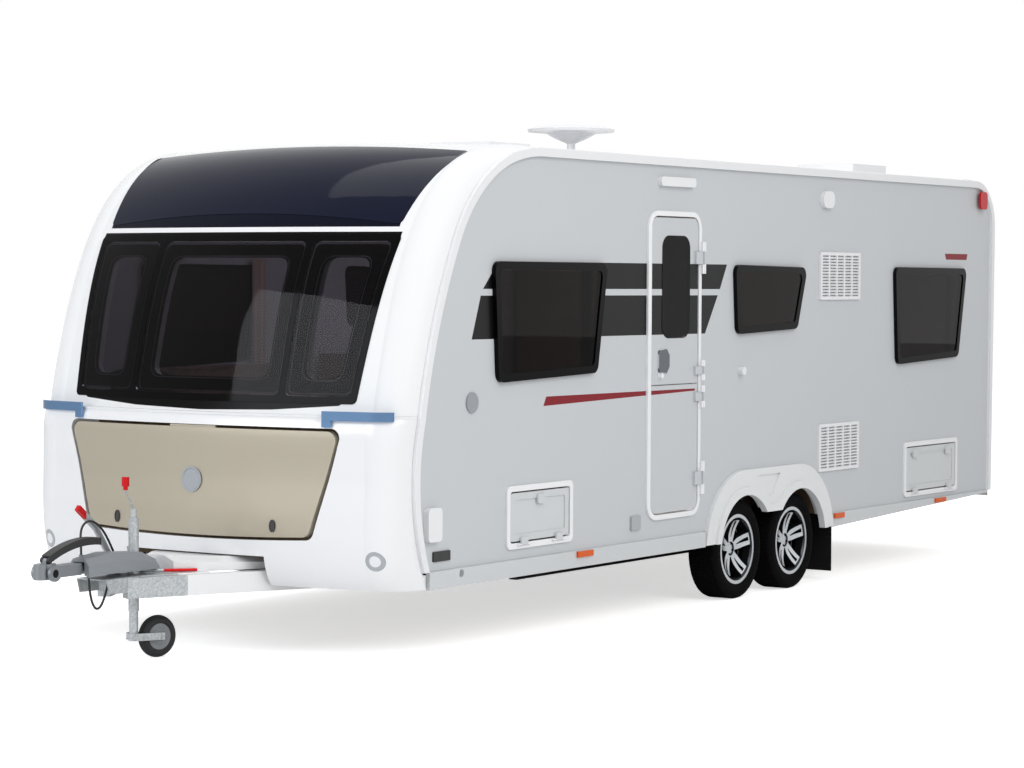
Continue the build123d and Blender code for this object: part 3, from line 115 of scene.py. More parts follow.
class Pattern(Enum):
    """How a surface varies from place to place."""

    PLAIN = "plain"
    GRAIN = "grain"
    SPANGLE = "spangle"
    QUILT = "quilt"
    WOOD = "wood"
    MACHINED = "machined"


@dataclass(frozen=True)
class Patch:
    """A flat-sided area in another colour: a convex outline seen along one axis.

    Args:
        colour: The area's sRGB colour.
        corners: The outline's corners on the two axes that the view axis leaves.
        view: The axis that the outline is seen along, 0 to 2.
        beyond: The paint is only where the view axis is over this value.
    """

    colour: str
    corners: tuple[tuple[float, float], ...]
    view: int = 0
    beyond: float = -9.0

    def mask(self, tree: bpy.types.NodeTree, place: list[bpy.types.NodeSocket]) -> bpy.types.NodeSocket:
        """Builds the nodes that are 1 inside the outline and 0 outside it.

        Args:
            tree: The node tree that takes the nodes.
            place: The sockets of the surface point's X, Y and Z.

        Returns:
            The mask's socket.
        """
        across, up = [place[axis] for axis in range(3) if axis != self.view]
        middle = [sum(corner[axis] for corner in self.corners) / len(self.corners) for axis in (0, 1)]
        inside = add_math(tree, "GREATER_THAN", place[self.view], self.beyond)
        for (a, b), (c, d) in zip(self.corners, self.corners[1:] + self.corners[:1]):
            normal = (b - d, c - a)
            offset = -(normal[0] * a + normal[1] * b)
            if normal[0] * middle[0] + normal[1] * middle[1] + offset < 0:
                normal, offset = (-normal[0], -normal[1]), -offset
            first = add_math(tree, "MULTIPLY_ADD", across, normal[0], offset)
            second = add_math(tree, "MULTIPLY_ADD", up, normal[1], first)
            edge = add_math(tree, "GREATER_THAN", second, 0.0)
            inside = add_math(tree, "MULTIPLY", edge, inside)
        return inside


def slab(colour: str, view: int, across: tuple[float, float], up: tuple[float, float],
         beyond: float = -9.0) -> Patch:
    """Makes a rectangular patch from its reach along the two axes that are seen.

    Args:
        colour: The area's sRGB colour.
        view: The axis that the outline is seen along, 0 to 2.
        across: The lowest and highest value on the first axis that is seen.
        up: The lowest and highest value on the second.
        beyond: The paint is only where the view axis is over this value.

    Returns:
        The patch.
    """
    corners = ((across[0], up[0]), (across[1], up[0]), (across[1], up[1]), (across[0], up[1]))
    return Patch(colour, corners, view, beyond)


@dataclass(frozen=True)
class Disc:
    """A round area in another colour about an axis.

    Args:
        colour: The area's sRGB colour.
        centre: A point on the axis.
        axis: The axis's direction, of unit length.
        radius: The area's radius.
    """

    colour: str
    centre: tuple[float, float, float]
    axis: tuple[float, float, float]
    radius: float

    def mask(self, tree: bpy.types.NodeTree, place: list[bpy.types.NodeSocket]) -> bpy.types.NodeSocket:
        """Builds the nodes that are 1 within the radius and 0 outside it.

        Args:
            tree: The node tree that takes the nodes.
            place: The sockets of the surface point's X, Y and Z.

        Returns:
            The mask's socket.
        """
        point = add_node(tree, "ShaderNodeCombineXYZ", dict(enumerate(place))).outputs[0]
        away = add_node(tree, "ShaderNodeVectorMath", {0: point, 1: self.centre},
                        operation="SUBTRACT").outputs[0]
        crossed = add_node(tree, "ShaderNodeVectorMath", {0: away, 1: self.axis},
                           operation="CROSS_PRODUCT").outputs[0]
        far = add_node(tree, "ShaderNodeVectorMath", {0: crossed}, operation="LENGTH").outputs["Value"]
        return add_math(tree, "LESS_THAN", far, self.radius)


COAT_ROUGHNESS = 0.06
METAL_FROM = 0.5
GRAIN_DETAIL = 2.0
WOOD_DETAIL = 3.0
# Wood's figure is drawn out this much along the board
WOOD_STRETCH = 0.08
# A quilt's cells: how uneven they are, where they stop rising and how wide their stitched lines are
QUILT_RANDOM = 0.35
QUILT_RISE = 0.22
QUILT_LINE = 0.05
# A machined face looks along the axle by at least this share of its normal
FACING = 0.72


@dataclass(frozen=True)
class Finish:
    """One finish: what a surface is made of and how it was made.

    Args:
        name: The finish's plain name, which is the material's name.
        colour: The sRGB colour.
        roughness: How matt it is.
        metallic: 1 for bare metal.
        ior: The index of refraction.
        coat: How much clear coat lies over it.
        clear: How much light passes through it.
        pattern: How it varies.
        second: The other colour of a pattern that has two.
        pitch: The pattern's spacing in millimetres.
        depth: The relief's depth in millimetres.
        patches: Areas in another colour, the last on top.
    """

    name: str
    colour: str
    roughness: float = 0.5
    metallic: float = 0.0
    ior: float = 1.5
    coat: float = 0.0
    clear: float = 0.0
    pattern: Pattern = Pattern.PLAIN
    second: str = "#808080"
    pitch: float = 10.0
    depth: float = 0.0
    patches: tuple[Patch | Disc, ...] = ()

    @cache
    def material(self) -> bpy.types.Material:
        """Makes the node material, once for each finish.

        Returns:
            The material.
        """
        made = bpy.data.materials.new(f"{self.name}_finish")
        made.use_nodes = True
        tree = made.node_tree
        shader = tree.nodes["Principled BSDF"]
        for socket, value in (("Base Color", srgb(self.colour)), ("Roughness", self.roughness),
                              ("Metallic", self.metallic), ("Coat Weight", self.coat),
                              ("Coat Roughness", COAT_ROUGHNESS), ("Transmission Weight", self.clear)):
            shader.inputs[socket].default_value = value
        if self.metallic < METAL_FROM:
            shader.inputs["IOR"].default_value = self.ior
        if self.pattern is Pattern.PLAIN and not self.patches:
            return made
        point = add_node(tree, "ShaderNodeTexCoord").outputs["Object"]
        split = add_node(tree, "ShaderNodeSeparateXYZ", {0: point})
        colour = self._pattern(tree, shader, point)
        for patch in self.patches:
            inside = patch.mask(tree, list(split.outputs))
            first = srgb(self.colour) if colour is None else colour
            colour = add_node(tree, "ShaderNodeMix", {0: inside, 6: first, 7: srgb(patch.colour)},
                              data_type="RGBA").outputs[2]
        if colour is not None:
            tree.links.new(colour, shader.inputs["Base Color"])
        return made

    def _pattern(self, tree: bpy.types.NodeTree, shader: bpy.types.Node,
                 point: bpy.types.NodeSocket) -> bpy.types.NodeSocket | None:
        """Adds the pattern's nodes.

        Args:
            tree: The material's node tree.
            shader: Its principled shader.
            point: The socket of the surface point.

        Returns:
            The colour's socket, or None where the pattern leaves the colour as it is.
        """
        scale = 1 / (self.pitch * MM)
        factor, height = None, None
        if self.pattern is Pattern.GRAIN:
            height = add_node(tree, "ShaderNodeTexNoise",
                              {"Vector": point, "Scale": scale, "Detail": GRAIN_DETAIL}).outputs[0]
        elif self.pattern is Pattern.SPANGLE:
            cells = add_node(tree, "ShaderNodeTexVoronoi", {"Vector": point, "Scale": scale}).outputs["Color"]
            factor = add_node(tree, "ShaderNodeSeparateColor", {0: cells}).outputs[0]
        elif self.pattern is Pattern.QUILT:
            edge = add_node(tree, "ShaderNodeTexVoronoi",
                            {"Vector": point, "Scale": scale, "Randomness": QUILT_RANDOM},
                            feature="DISTANCE_TO_EDGE").outputs["Distance"]
            height = add_math(tree, "MINIMUM", edge, QUILT_RISE)
            factor = add_math(tree, "LESS_THAN", edge, QUILT_LINE)
        elif self.pattern is Pattern.WOOD:
            stretched = add_node(tree, "ShaderNodeMapping",
                                 {"Vector": point, "Scale": (1.0, 1.0, WOOD_STRETCH)}).outputs[0]
            factor = add_node(tree, "ShaderNodeTexNoise",
                              {"Vector": stretched, "Scale": scale, "Detail": WOOD_DETAIL}).outputs[0]
        elif self.pattern is Pattern.MACHINED:
            normal = add_node(tree, "ShaderNodeNewGeometry").outputs["Normal"]
            side = add_node(tree, "ShaderNodeSeparateXYZ", {0: normal}).outputs[0]
            factor = add_math(tree, "GREATER_THAN", add_math(tree, "ABSOLUTE", side), FACING)
        if height is not None:
            bump = add_node(tree, "ShaderNodeBump",
                            {"Height": height, "Distance": self.depth * MM, "Strength": 1.0})
            tree.links.new(bump.outputs[0], shader.inputs["Normal"])
        if factor is None:
            return None
        return add_node(tree, "ShaderNodeMix", {0: factor, 6: srgb(self.colour), 7: srgb(self.second)},
                        data_type="RGBA").outputs[2]


# The body's graphics: two black bands and two crimson stripes on the door side's outer face
WALL_FACE = 1.12
BLACK = "#0C0C0E"
CRIMSON = "#7C0C1B"
LIVERY = (
    Patch(BLACK, ((-1.965, 1.880), (-2.098, 1.745), (0.260, 1.743), (0.339, 1.879)), 0, WALL_FACE),
    Patch(BLACK, ((-2.118, 1.713), (-2.195, 1.502), (0.095, 1.500), (0.236, 1.709)), 0, WALL_FACE),
    Patch(CRIMSON, ((-1.524, 1.207), (-1.551, 1.160), (-0.028, 1.191), (-0.028, 1.203)), 0, WALL_FACE),
    Patch(CRIMSON, ((3.245, 1.930), (3.228, 1.968), (3.580, 1.968), (3.565, 1.930)), 0, WALL_FACE),
)
# The door handle's recess, painted darker grey as the shade that falls into it
HANDLE_RECESS_SHADE = Patch("#62666A", ((-0.430, 1.302), (-0.345, 1.294), (-0.316, 1.328), (-0.316, 1.390),
                                (-0.345, 1.424), (-0.430, 1.416)), 0, WALL_FACE)
# Black print on the front moulding: behind the top edge of the band of panes, behind the foot of the
# roof window, and under the band, where its lower edge bows down at the middle
BAND_TOP = slab("#08080A", 1, (-0.925, 0.925), (1.990, 2.016))
ROOF_WINDOW_FOOT = slab("#080C1C", 1, (-0.900, 0.900), (2.040, 2.110))
BAND_FOOT = Patch("#060607", ((-0.835, 1.230), (-0.780, 1.194), (-0.420, 1.168), (0.0, 1.158),
                              (0.420, 1.168), (0.780, 1.194), (0.835, 1.230)), 1)

# Gloss ABS mouldings: a bright skin with soft, broad highlights
MOULDED_WHITE = Finish("gloss_abs", "#E6E7E9", roughness=0.24, coat=0.3)
FRONT_MOULDING = Finish("gloss_abs_front", "#E8E9EA", roughness=0.2, ior=1.16,
                        patches=(BAND_TOP, ROOF_WINDOW_FOOT, BAND_FOOT))
ARCH_MOULDING = Finish("satin_abs", "#D9DBDC", roughness=0.34)
SILL_MOULDING = Finish("grey_white_sill", "#C4C7C9", roughness=0.4)
# Painted aluminium sheet: a smooth, slightly softer gloss
PAINTED_WHITE = Finish("painted_white_sheet", "#E2E3E5", roughness=0.3, coat=0.2)
PAINTED_GREY = Finish("painted_grey_sheet", "#C0C3C6", roughness=0.34, ior=1.3, patches=LIVERY)
# The upper door carries the painted shade of its handle's recess
UPPER_DOOR = Finish("painted_upper_door", "#C0C3C6", roughness=0.34, ior=1.3, patches=(*LIVERY, HANDLE_RECESS_SHADE))
HATCH_GREY = Finish("painted_hatch", "#C6C9CB", roughness=0.34)
# Powder-coated aluminium extrusion
RAIL_WHITE = Finish("powder_coated_rail", "#E0E1E3", roughness=0.36)
# Metallic champagne paint
CHAMPAGNE = Finish("champagne_paint", "#AAA291", roughness=0.36, metallic=0.25, coat=0.3)
# Polished bright trim, whose blue colour is a painted reflection of a blue sky
SKY_PAINTED_TRIM = Finish("polished_trim_painted_sky", "#7FA3CE", roughness=0.14, metallic=1.0)
# Tinted acrylic: near black outside, with the room faintly behind it
SMOKED_ACRYLIC = Finish("smoked_acrylic", "#504C55", roughness=0.015, ior=1.16, clear=1.0)
SMOKED_SIDE = Finish("smoked_side_acrylic", "#2E2829", roughness=0.015, ior=1.16, clear=1.0)
NAVY_ACRYLIC = Finish("navy_acrylic", "#0A1026", roughness=0.05, ior=1.2)
GLOSS_BLACK = Finish("gloss_black_print", "#050506", roughness=0.06, ior=1.14)
# Injection-moulded window frame, satin black
BLACK_FRAME = Finish("black_window_frame", "#060607", roughness=0.14, ior=1.18)
SASH_GREY = Finish("sash_moulding", "#F6F7F8", roughness=0.3)
# Polycarbonate lens over a bright bowl
LAMP_X, LAMP_Z = 1.010, 0.476
LAMP_BOWL = Finish("lamp_bowl", "#A4A9AD", roughness=0.14, metallic=0.4, coat=0.8,
                   patches=tuple(Disc("#E4E7EA", (side * LAMP_X, 0.0, LAMP_Z), (0.0, 1.0, 0.0), 0.026)
                                 for side in (1, -1)))
LENSES = Finish("amber_and_red_lenses", "#D2560F", roughness=0.15, ior=1.3,
                patches=(slab("#B9141D", 0, (3.40, 4.10), (0.60, 2.60)),))
# Hot-dip galvanised steel: a dull grey with a faint spangle
GRIP_RED = "#C3161C"
GALVANISED = Finish("galvanised_steel", "#A6AAAD", roughness=0.5, metallic=0.7,
                    pattern=Pattern.SPANGLE, second="#BFC3C5", pitch=9)
JOCKEY_TUBE = replace(GALVANISED, name="galvanised_clamp_tube", roughness=0.48,
                      patches=(slab(GRIP_RED, 0, (-3.60, -3.0), (0.800, 1.0)),
                               slab(GRIP_RED, 2, (0.085, 0.30), (-3.30, -3.0), 0.0)))
BRAKE_LEVER = Finish("galvanised_brake_lever", "#A6AAAD", roughness=0.46, metallic=0.7,
                     patches=(slab(GRIP_RED, 0, (-3.70, -3.585), (0.66, 0.80)),))
WHITE_COVERED_FRAME = replace(GALVANISED, name="galvanised_frame",
                              patches=(slab("#E1E2E3", 2, (-0.70, 0.70), (-3.22, -2.30)),))
# Axles and chassis rails in near black: painted shade, the dark of the shadow under the body
UNDERBODY_SHADE_STEEL = Finish("underbody_steel_painted_shade", "#1C1D1F", roughness=0.5)
CAST_STEEL = Finish("cast_coupling_steel", "#83878B", roughness=0.42, metallic=0.75, pattern=Pattern.GRAIN,
                    pitch=2.5, depth=0.15,
                    patches=(Disc("#101011", (0.0, -3.944, 0.458), (1.0, 0.0, 0.0), 0.019),))
COVER_GREY = Finish("moulded_grey_cover", "#82878C", roughness=0.5, pattern=Pattern.GRAIN, pitch=1.2,
                    depth=0.06)
BLACK_GRIP = Finish("moulded_black_grip", "#151517", roughness=0.48)
JOCKEY_TYRE = Finish("jockey_wheel_rubber", "#161617", roughness=0.7,
                     patches=(Disc("#7C8083", (0.03416, -3.2175, 0.100), (0.9659, -0.2588, 0.0), 0.062),))
# Alloy with dark paint in its pockets and machined faces
ALLOY = Finish("machined_alloy", "#2D3034", roughness=0.28, metallic=0.75, pattern=Pattern.MACHINED,
               second="#C6CACE")
TYRE_RUBBER = Finish("tyre_rubber", "#0D0D0E", roughness=0.85, ior=1.12, pattern=Pattern.GRAIN, pitch=2.0,
                     depth=0.1)
SHEET_RUBBER = Finish("sheet_rubber", "#0C0C0D", roughness=0.8, ior=1.3)
PLYWOOD = Finish("faced_plywood", "#6F5C48", roughness=0.6, pattern=Pattern.WOOD, second="#7F6C57", pitch=30)
OAK_BOARD = Finish("oak_faced_board", "#8A735B", roughness=0.45, pattern=Pattern.WOOD, second="#9B846A",
                   pitch=40)
UPHOLSTERY = Finish("quilted_upholstery", "#8A7468", roughness=0.85, pattern=Pattern.QUILT, second="#4B3D37",
                    pitch=55, depth=5)
CURTAIN_CLOTH = Finish("curtain_cloth", "#CDB8AC", roughness=0.9, pattern=Pattern.GRAIN, pitch=1.5, depth=0.1)
CABLE_SHEATH = Finish("cable_sheath", "#101011", roughness=0.45)
SATIN_BOSS = Finish("satin_boss", "#9CA1A5", roughness=0.3, metallic=0.9)
LATCH_BLACK = Finish("moulded_latch", "#2A2A2C", roughness=0.4)
FITTINGS = Finish("white_fittings", "#E0E1E3", roughness=0.35,
                  patches=(slab("#121214", 0, (-2.53, -2.37), (0.45, 0.51)),
                           slab("#8F9498", 0, (-2.25, -2.13), (1.14, 1.26)),
                           slab("#A3A7AA", 0, (-0.71, -0.59), (0.46, 0.56))))

NODE_FINISHES: tuple[tuple[Finish, tuple[str, ...]], ...] = (
    (MOULDED_WHITE, ("front_lower", "rear_bumper", "roof_fittings", "fairing", "door_frames")),
    (FRONT_MOULDING, ("front_upper",)),
    (ARCH_MOULDING, ("wheel_spats",)),
    (SILL_MOULDING, ("side_skirts",)),
    (PAINTED_WHITE, ("roof_panel", "rear_panel")),
    (PAINTED_GREY, ("side_wall_left", "side_wall_right", "door_lower")),
    (UPPER_DOOR, ("door_upper",)),
    (HATCH_GREY, ("locker_door", "cassette_door")),
    (CHAMPAGNE, ("front_lid",)),
    (RAIL_WHITE, ("awning_rails", "fridge_vents")),
    (FITTINGS, ("wall_fittings",)),
    (SMOKED_ACRYLIC, ("front_panes",)),
    (SMOKED_SIDE, ("window_panes", "door_pane")),
    (NAVY_ACRYLIC, ("roof_window",)),
    (GLOSS_BLACK, ("front_band",)),
    (BLACK_FRAME, ("window_frames",)),
    (SKY_PAINTED_TRIM, ("front_trims",)),
    (LAMP_BOWL, ("front_lamps",)),
    (LENSES, ("marker_lamps",)),
    (GALVANISED, ("jockey_inner", "jockey_fork", "steady_front_left", "steady_front_right",
                  "steady_rear_left", "steady_rear_right")),
    (WHITE_COVERED_FRAME, ("a_frame",)),
    (JOCKEY_TUBE, ("jockey_tube",)),
    (BRAKE_LEVER, ("handbrake",)),
    (UNDERBODY_SHADE_STEEL, ("axles", "chassis_rails")),
    (CAST_STEEL, ("coupling_head",)),
    (COVER_GREY, ("hitch_cover",)),
    (BLACK_GRIP, ("coupling_handle",)),
    (JOCKEY_TYRE, ("jockey_wheel",)),
    (ALLOY, ("rim_front_left", "rim_front_right", "rim_rear_left", "rim_rear_right")),
    (SHEET_RUBBER, ("mud_flaps",)),
    (PLYWOOD, ("floor",)),
    (OAK_BOARD, ("furniture",)),
)


def paint(piece: bpy.types.Object, finish: Finish) -> None:
    """Gives a piece one finish in place of the materials it has.

    Args:
        piece: The piece.
        finish: Its new finish.
    """
    piece.data.materials.clear()
    piece.data.materials.append(finish.material())


def piece_from(mesh: bmesh.types.BMesh, name: str, finish: Finish, body: str = SHELL,
               smooth: bool = True) -> bpy.types.Object:
    """Turns a finished bmesh into a piece that rides on a body.

    Args:
        mesh: The shape, in the frame's axes. It is freed.
        name: The piece's name.
        finish: Its finish.
        body: The CAD body that it moves with.
        smooth: Whether its faces are shaded smooth.

    Returns:
        The new object.
    """
    data = bpy.data.meshes.new(name)
    mesh.to_mesh(data)
    mesh.free()
    if smooth:
        data.polygons.foreach_set("use_smooth", [True] * len(data.polygons))
    piece = bpy.data.objects.new(name, data)
    bpy.context.scene.collection.objects.link(piece)
    paint(piece, finish)
    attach(piece, body)
    return piece


def merged_copy(node: str) -> bmesh.types.BMesh:
    """Copies a CAD node's loose triangles into a bmesh and merges their shared points.

    Args:
        node: The CAD node's name.

    Returns:
        The new bmesh.
    """
    mesh = bmesh.new()
    mesh.from_mesh(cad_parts[node].data)
    bmesh.ops.remove_doubles(mesh, verts=mesh.verts, dist=SAME_POINT)
    return mesh


def solids_of(mesh: bmesh.types.BMesh) -> list[list[bmesh.types.BMVert]]:
    """Groups a bmesh's points into its separate solids.

    Args:
        mesh: The bmesh.

    Returns:
        The points of each solid.
    """
    groups, seen = [], set()
    for first in mesh.verts:
        if first in seen:
            continue
        group, waiting = [], [first]
        seen.add(first)
        while waiting:
            here = waiting.pop()
            group.append(here)
            for edge in here.link_edges:
                other = edge.other_vert(here)
                if other not in seen:
                    seen.add(other)
                    waiting.append(other)
        groups.append(group)
    return groups


def solid_boxes(node: str) -> list[tuple[Vector, Vector]]:
    """Finds the box of each solid of a CAD node.

    Args:
        node: The CAD node's name.

    Returns:
        The lowest and highest corner of each solid, in a steady order.
    """
    mesh = merged_copy(node)
    boxes = []
    for group in solids_of(mesh):
        low = Vector([min(vert.co[axis] for vert in group) for axis in range(3)])
        high = Vector([max(vert.co[axis] for vert in group) for axis in range(3)])
        boxes.append((low, high))
    mesh.free()
    return sorted(boxes, key=lambda box: [round(value, 3) for value in (*box[0], *box[1])])


@dataclass
class Tyre:
    """A road tyre with a ribbed sidewall and a tread of raised blocks.

    Args:
        place: Which wheel it is, such as "front_left".
        steps: How many blocks go round the tread.
        block_gap: The width of the grooves between blocks.
        tread: The tread's depth.
        tread_from: A face whose middle is farther out than this belongs to the tread.
        seam: How close the points of the first and last section are merged.
        sharp: Edges over this angle in degrees are shaded sharp.
    """

    place: str
    steps: int = 84
    block_gap: float = 0.0030
    tread: float = 0.0045
    tread_from: float = 0.2715
    seam: float = 0.05 * MM
    sharp: float = 38.0
    # Radius, and distance from the wheel's middle plane, from one bead over the tread to the other
    profile: tuple[tuple[float, float], ...] = (
        (0.186, 0.066), (0.192, 0.074), (0.199, 0.083), (0.205, 0.0865), (0.210, 0.0860),
        (0.222, 0.0905), (0.236, 0.0922), (0.250, 0.0905), (0.262, 0.0860), (0.2705, 0.0780),
        (0.2755, 0.0640), (0.2755, 0.0400), (0.2755, 0.0135),
    )

    def build(self) -> bpy.types.Object:
        """Spins the tyre's section and raises its tread blocks.

        Returns:
            The tyre.
        """
        low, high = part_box(f"tyre_{self.place}")
        centre = (low + high) / 2
        mesh = bmesh.new()
        points = [*self.profile, *[(radius, -x) for radius, x in reversed(self.profile)]]
        verts = [mesh.verts.new((centre.x + x, centre.y, centre.z + radius)) for radius, x in points]
        edges = [mesh.edges.new(pair) for pair in zip(verts, verts[1:] + verts[:1])]
        bmesh.ops.spin(mesh, geom=[*verts, *edges], cent=centre, axis=(1, 0, 0), dvec=(0, 0, 0),
                       angle=math.tau, steps=self.steps, use_merge=True)
        bmesh.ops.remove_doubles(mesh, verts=mesh.verts, dist=self.seam)
        bmesh.ops.recalc_face_normals(mesh, faces=mesh.faces)
        blocks = [face for face in mesh.faces if self._on_tread(face, centre)]
        bmesh.ops.inset_individual(mesh, faces=blocks, thickness=self.block_gap / 2, depth=self.tread)
        piece = piece_from(mesh, f"tread_{self.place}", TYRE_RUBBER, f"wheel_{self.place}")
        piece.data.set_sharp_from_angle(angle=math.radians(self.sharp))
        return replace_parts(piece, f"tyre_{self.place}")

    def _on_tread(self, face: bmesh.types.BMFace, centre: Vector) -> bool:
        """Says whether a face is on the tread's flat part.

        Args:
            face: The face.
            centre: The wheel's middle.

        Returns:
            True on the tread.
        """
        away = face.calc_center_median() - centre
        return math.hypot(away.y, away.z) > self.tread_from


@dataclass
class SoftFurnishings:
    """The cushions and curtains that show through the windows.

    Args:
        cuts: How finely a cushion's box is divided.
        crown: How far the middle of a cushion's face stands above its corners.
        most_fall: The largest share of its half size that a face falls away by.
        pleat: The curtain's pleat spacing.
        pleat_steps: How many faces run across one pleat.
        rows: How many faces run down a curtain.
        edge: The share of its box that a curtain leaves free at each side.
        swing: The reach of its pleats at the foot, as a share of its box.
        gathered: The part of that reach that is left at the top.
    """

    cuts: int = 11
    crown: float = 0.022
    most_fall: float = 0.4
    pleat: float = 0.052
    pleat_steps: int = 10
    rows: int = 14
    edge: float = 0.01
    swing: float = 0.47
    gathered: float = 0.65

    def build(self) -> None:
        """Builds every cushion and curtain in place of the plain CAD ones."""
        for number, box in enumerate(solid_boxes("cushions")):
            self._cushion(number, *box)
        for number, box in enumerate(solid_boxes("curtains")):
            self._curtain(number, *box)

    def _cushion(self, number: int, low: Vector, high: Vector) -> None:
        """Makes one crowned cushion inside its CAD box.

        Args:
            number: The cushion's number.
            low: The box's lowest corner.
            high: Its highest corner.
        """
        mesh = bmesh.new()
        bmesh.ops.create_cube(mesh, size=2.0)
        bmesh.ops.subdivide_edges(mesh, edges=mesh.edges, cuts=self.cuts, use_grid_fill=True)
        middle, half = (low + high) / 2, (high - low) / 2
        for vert in mesh.verts:
            at = vert.co.copy()
            for axis in range(3):
                others = [abs(at[other]) for other in range(3) if other != axis]
                # Each face falls away towards its seams, and the sides pull in between the corners
                fall = self.crown * max(others[0] ** 4, others[1] ** 4) / half[axis]
                vert.co[axis] = middle[axis] + half[axis] * at[axis] * (1 - min(fall, self.most_fall))
        bmesh.ops.recalc_face_normals(mesh, faces=mesh.faces)
        piece = piece_from(mesh, f"cushion_{number}", UPHOLSTERY)
        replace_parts(piece, "cushions")

    def _curtain(self, number: int, low: Vector, high: Vector) -> None:
        """Makes one pleated curtain that hangs within its CAD box.

        Args:
            number: The curtain's number.
            low: The box's lowest corner.
            high: Its highest corner.
        """
        size = high - low
        along = 0 if size.x > size.y else 1
        pleats = max(2, round(size[along] / self.pleat))
        mesh = bmesh.new()
        bmesh.ops.create_grid(mesh, x_segments=pleats * self.pleat_steps, y_segments=self.rows, size=0.5)
        middle = (low + high) / 2
        for vert in mesh.verts:
            across, up = vert.co.x + 0.5, vert.co.y + 0.5
            swing = self.swing * size[1 - along] * (self.gathered + (1 - self.gathered) * (1 - up))
            point = Vector((0, 0, low.z + size.z * up))
            point[along] = low[along] + size[along] * (self.edge + (1 - 2 * self.edge) * across)
            point[1 - along] = middle[1 - along] + swing * math.sin(math.tau * pleats * across)
            vert.co = point
        bmesh.ops.recalc_face_normals(mesh, faces=mesh.faces)
        area = sum(face.calc_area() for face in mesh.faces)
        piece = piece_from(mesh, f"curtain_{number}", CURTAIN_CLOTH)
        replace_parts(piece, "curtains")


@dataclass
class FrontGlazing:
    """The black printed borders and the pale sashes behind the three front panes, and a thin pale ring at
    each pane's very edge, which is a painted highlight along that edge.

    Args:
        rings: Each ring's name, its distance in from the pane's edge, its width, its depth and its finish.
        border: A ring that starts farther in than this has the sash's large corners.
        corner: The radius of a sash's corner at the pane's edge.
        corner_fade: How much that radius shrinks for each unit that the ring lies further in.
        edge_corner: The corner radius of a ring that lies at the pane's very edge.
        gap: Clearance behind the pane.
        cabin_y: A place in the cabin from which the panes' inner faces are found.
        arc_steps: How many lines make up a corner.
        side_steps: How many make up a side.
    """

    # The first ring, at the pane's very edge, is a painted highlight: a pale line where the edge catches the
    # light
    rings: tuple[tuple[str, float, float, float, Finish], ...] = (
        ("edge", 0.001, 0.003, 0.004, SASH_GREY), ("border", 0.006, 0.054, 0.006, GLOSS_BLACK),
        ("sash", 0.061, 0.004, 0.060, SASH_GREY), ("seal", 0.066, 0.004, 0.020, GLOSS_BLACK))
    border: float = 0.05
    corner: float = 0.085
    corner_fade: float = 0.3
    edge_corner: float = 0.03
    gap: float = 0.003
    cabin_y: float = -1.8
    arc_steps: int = 8
    side_steps: int = 10

    def build(self) -> None:
        """Builds the rings of each pane."""
        mesh = merged_copy("front_panes")
        tree = BVHTree.FromBMesh(mesh)
        panes = [[vert.co.copy() for vert in group] for group in solids_of(mesh)]
        mesh.free()
        panes.sort(key=lambda points: min(point.x for point in points))
        for number, points in enumerate(panes):
            corners = [max(points, key=lambda point: sx * point.x * lean + sz * point.z)
                       for sx, sz, lean in ((1, 1, 1), (-1, 1, 1), (-1, -1, 1), (1, -1, 1))]
            flat = [Vector((corner.x, corner.z)) for corner in corners]
            for kind, inset, width, deep, finish in self.rings:
                self._ring(f"pane_{number}_{kind}", tree, flat, inset, width, deep, finish)

    def _loop(self, corners: list[Vector], inset: float) -> list[Vector]:
        """Rounds the corners of an inset four-sided outline.

        Args:
            corners: The pane's corners in X and Z, in order.
            inset: The distance in from its sides.

        Returns:
            The outline's points.
        """
        middle = sum(corners, Vector((0, 0))) / 4
        lines = []
        for here, after in zip(corners, corners[1:] + corners[:1]):
            run = (after - here).normalized()
            normal = Vector((-run.y, run.x))
            if normal.dot(middle - here) < 0:
                normal = -normal
            lines.append((here + normal * inset, run))
        inner = []
        for (a, run_a), (b, run_b) in zip(lines[-1:] + lines[:-1], lines):
            across = run_a.x * run_b.y - run_a.y * run_b.x
            step = ((b - a).x * run_b.y - (b - a).y * run_b.x) / across
            inner.append(a + run_a * step)
        points = []
        radius = self.corner - inset * self.corner_fade if inset > self.border else self.edge_corner + inset
        for before, here, after in zip(inner[-1:] + inner[:-1], inner, inner[1:] + inner[:1]):
            first = here + (before - here).normalized() * radius
            last = here + (after - here).normalized() * radius
            for step in range(self.arc_steps + 1):
                t = step / self.arc_steps
                points.append(first * (1 - t) ** 2 + here * 2 * t * (1 - t) + last * t ** 2)
            beyond = after + (here - after).normalized() * radius
            points += [last.lerp(beyond, step / self.side_steps) for step in range(1, self.side_steps)]
        return points

    def _ring(self, name: str, tree: BVHTree, corners: list[Vector], inset: float, width: float,
              deep: float, finish: Finish) -> None:
        """Lays one ring on the inner face of its pane.

        Args:
            name: The piece's name.
            tree: The panes' faces.
            corners: The pane's corners in X and Z.
            inset: The ring's distance in from the pane's edge.
            width: The ring's width.
            deep: How far it reaches into the cabin.
            finish: Its finish.
        """
        mesh = bmesh.new()
        loops = []
        for distance, back in ((inset, 0.0), (inset + width, 0.0), (inset + width, deep), (inset, deep)):
            verts = []
            for point in self._loop(corners, distance):
                hit = tree.ray_cast(Vector((point.x, self.cabin_y, point.y)), Vector((0, -1, 0)))[0]
                verts.append(mesh.verts.new((point.x, hit.y + self.gap + back, point.y)))
            loops.append(verts)
        for here, after in zip(loops, loops[1:] + loops[:1]):
            for at in range(len(here)):
                mesh.faces.new((here[at - 1], here[at], after[at], after[at - 1]))
        bmesh.ops.recalc_face_normals(mesh, faces=mesh.faces)
        piece_from(mesh, name, finish, smooth=False)


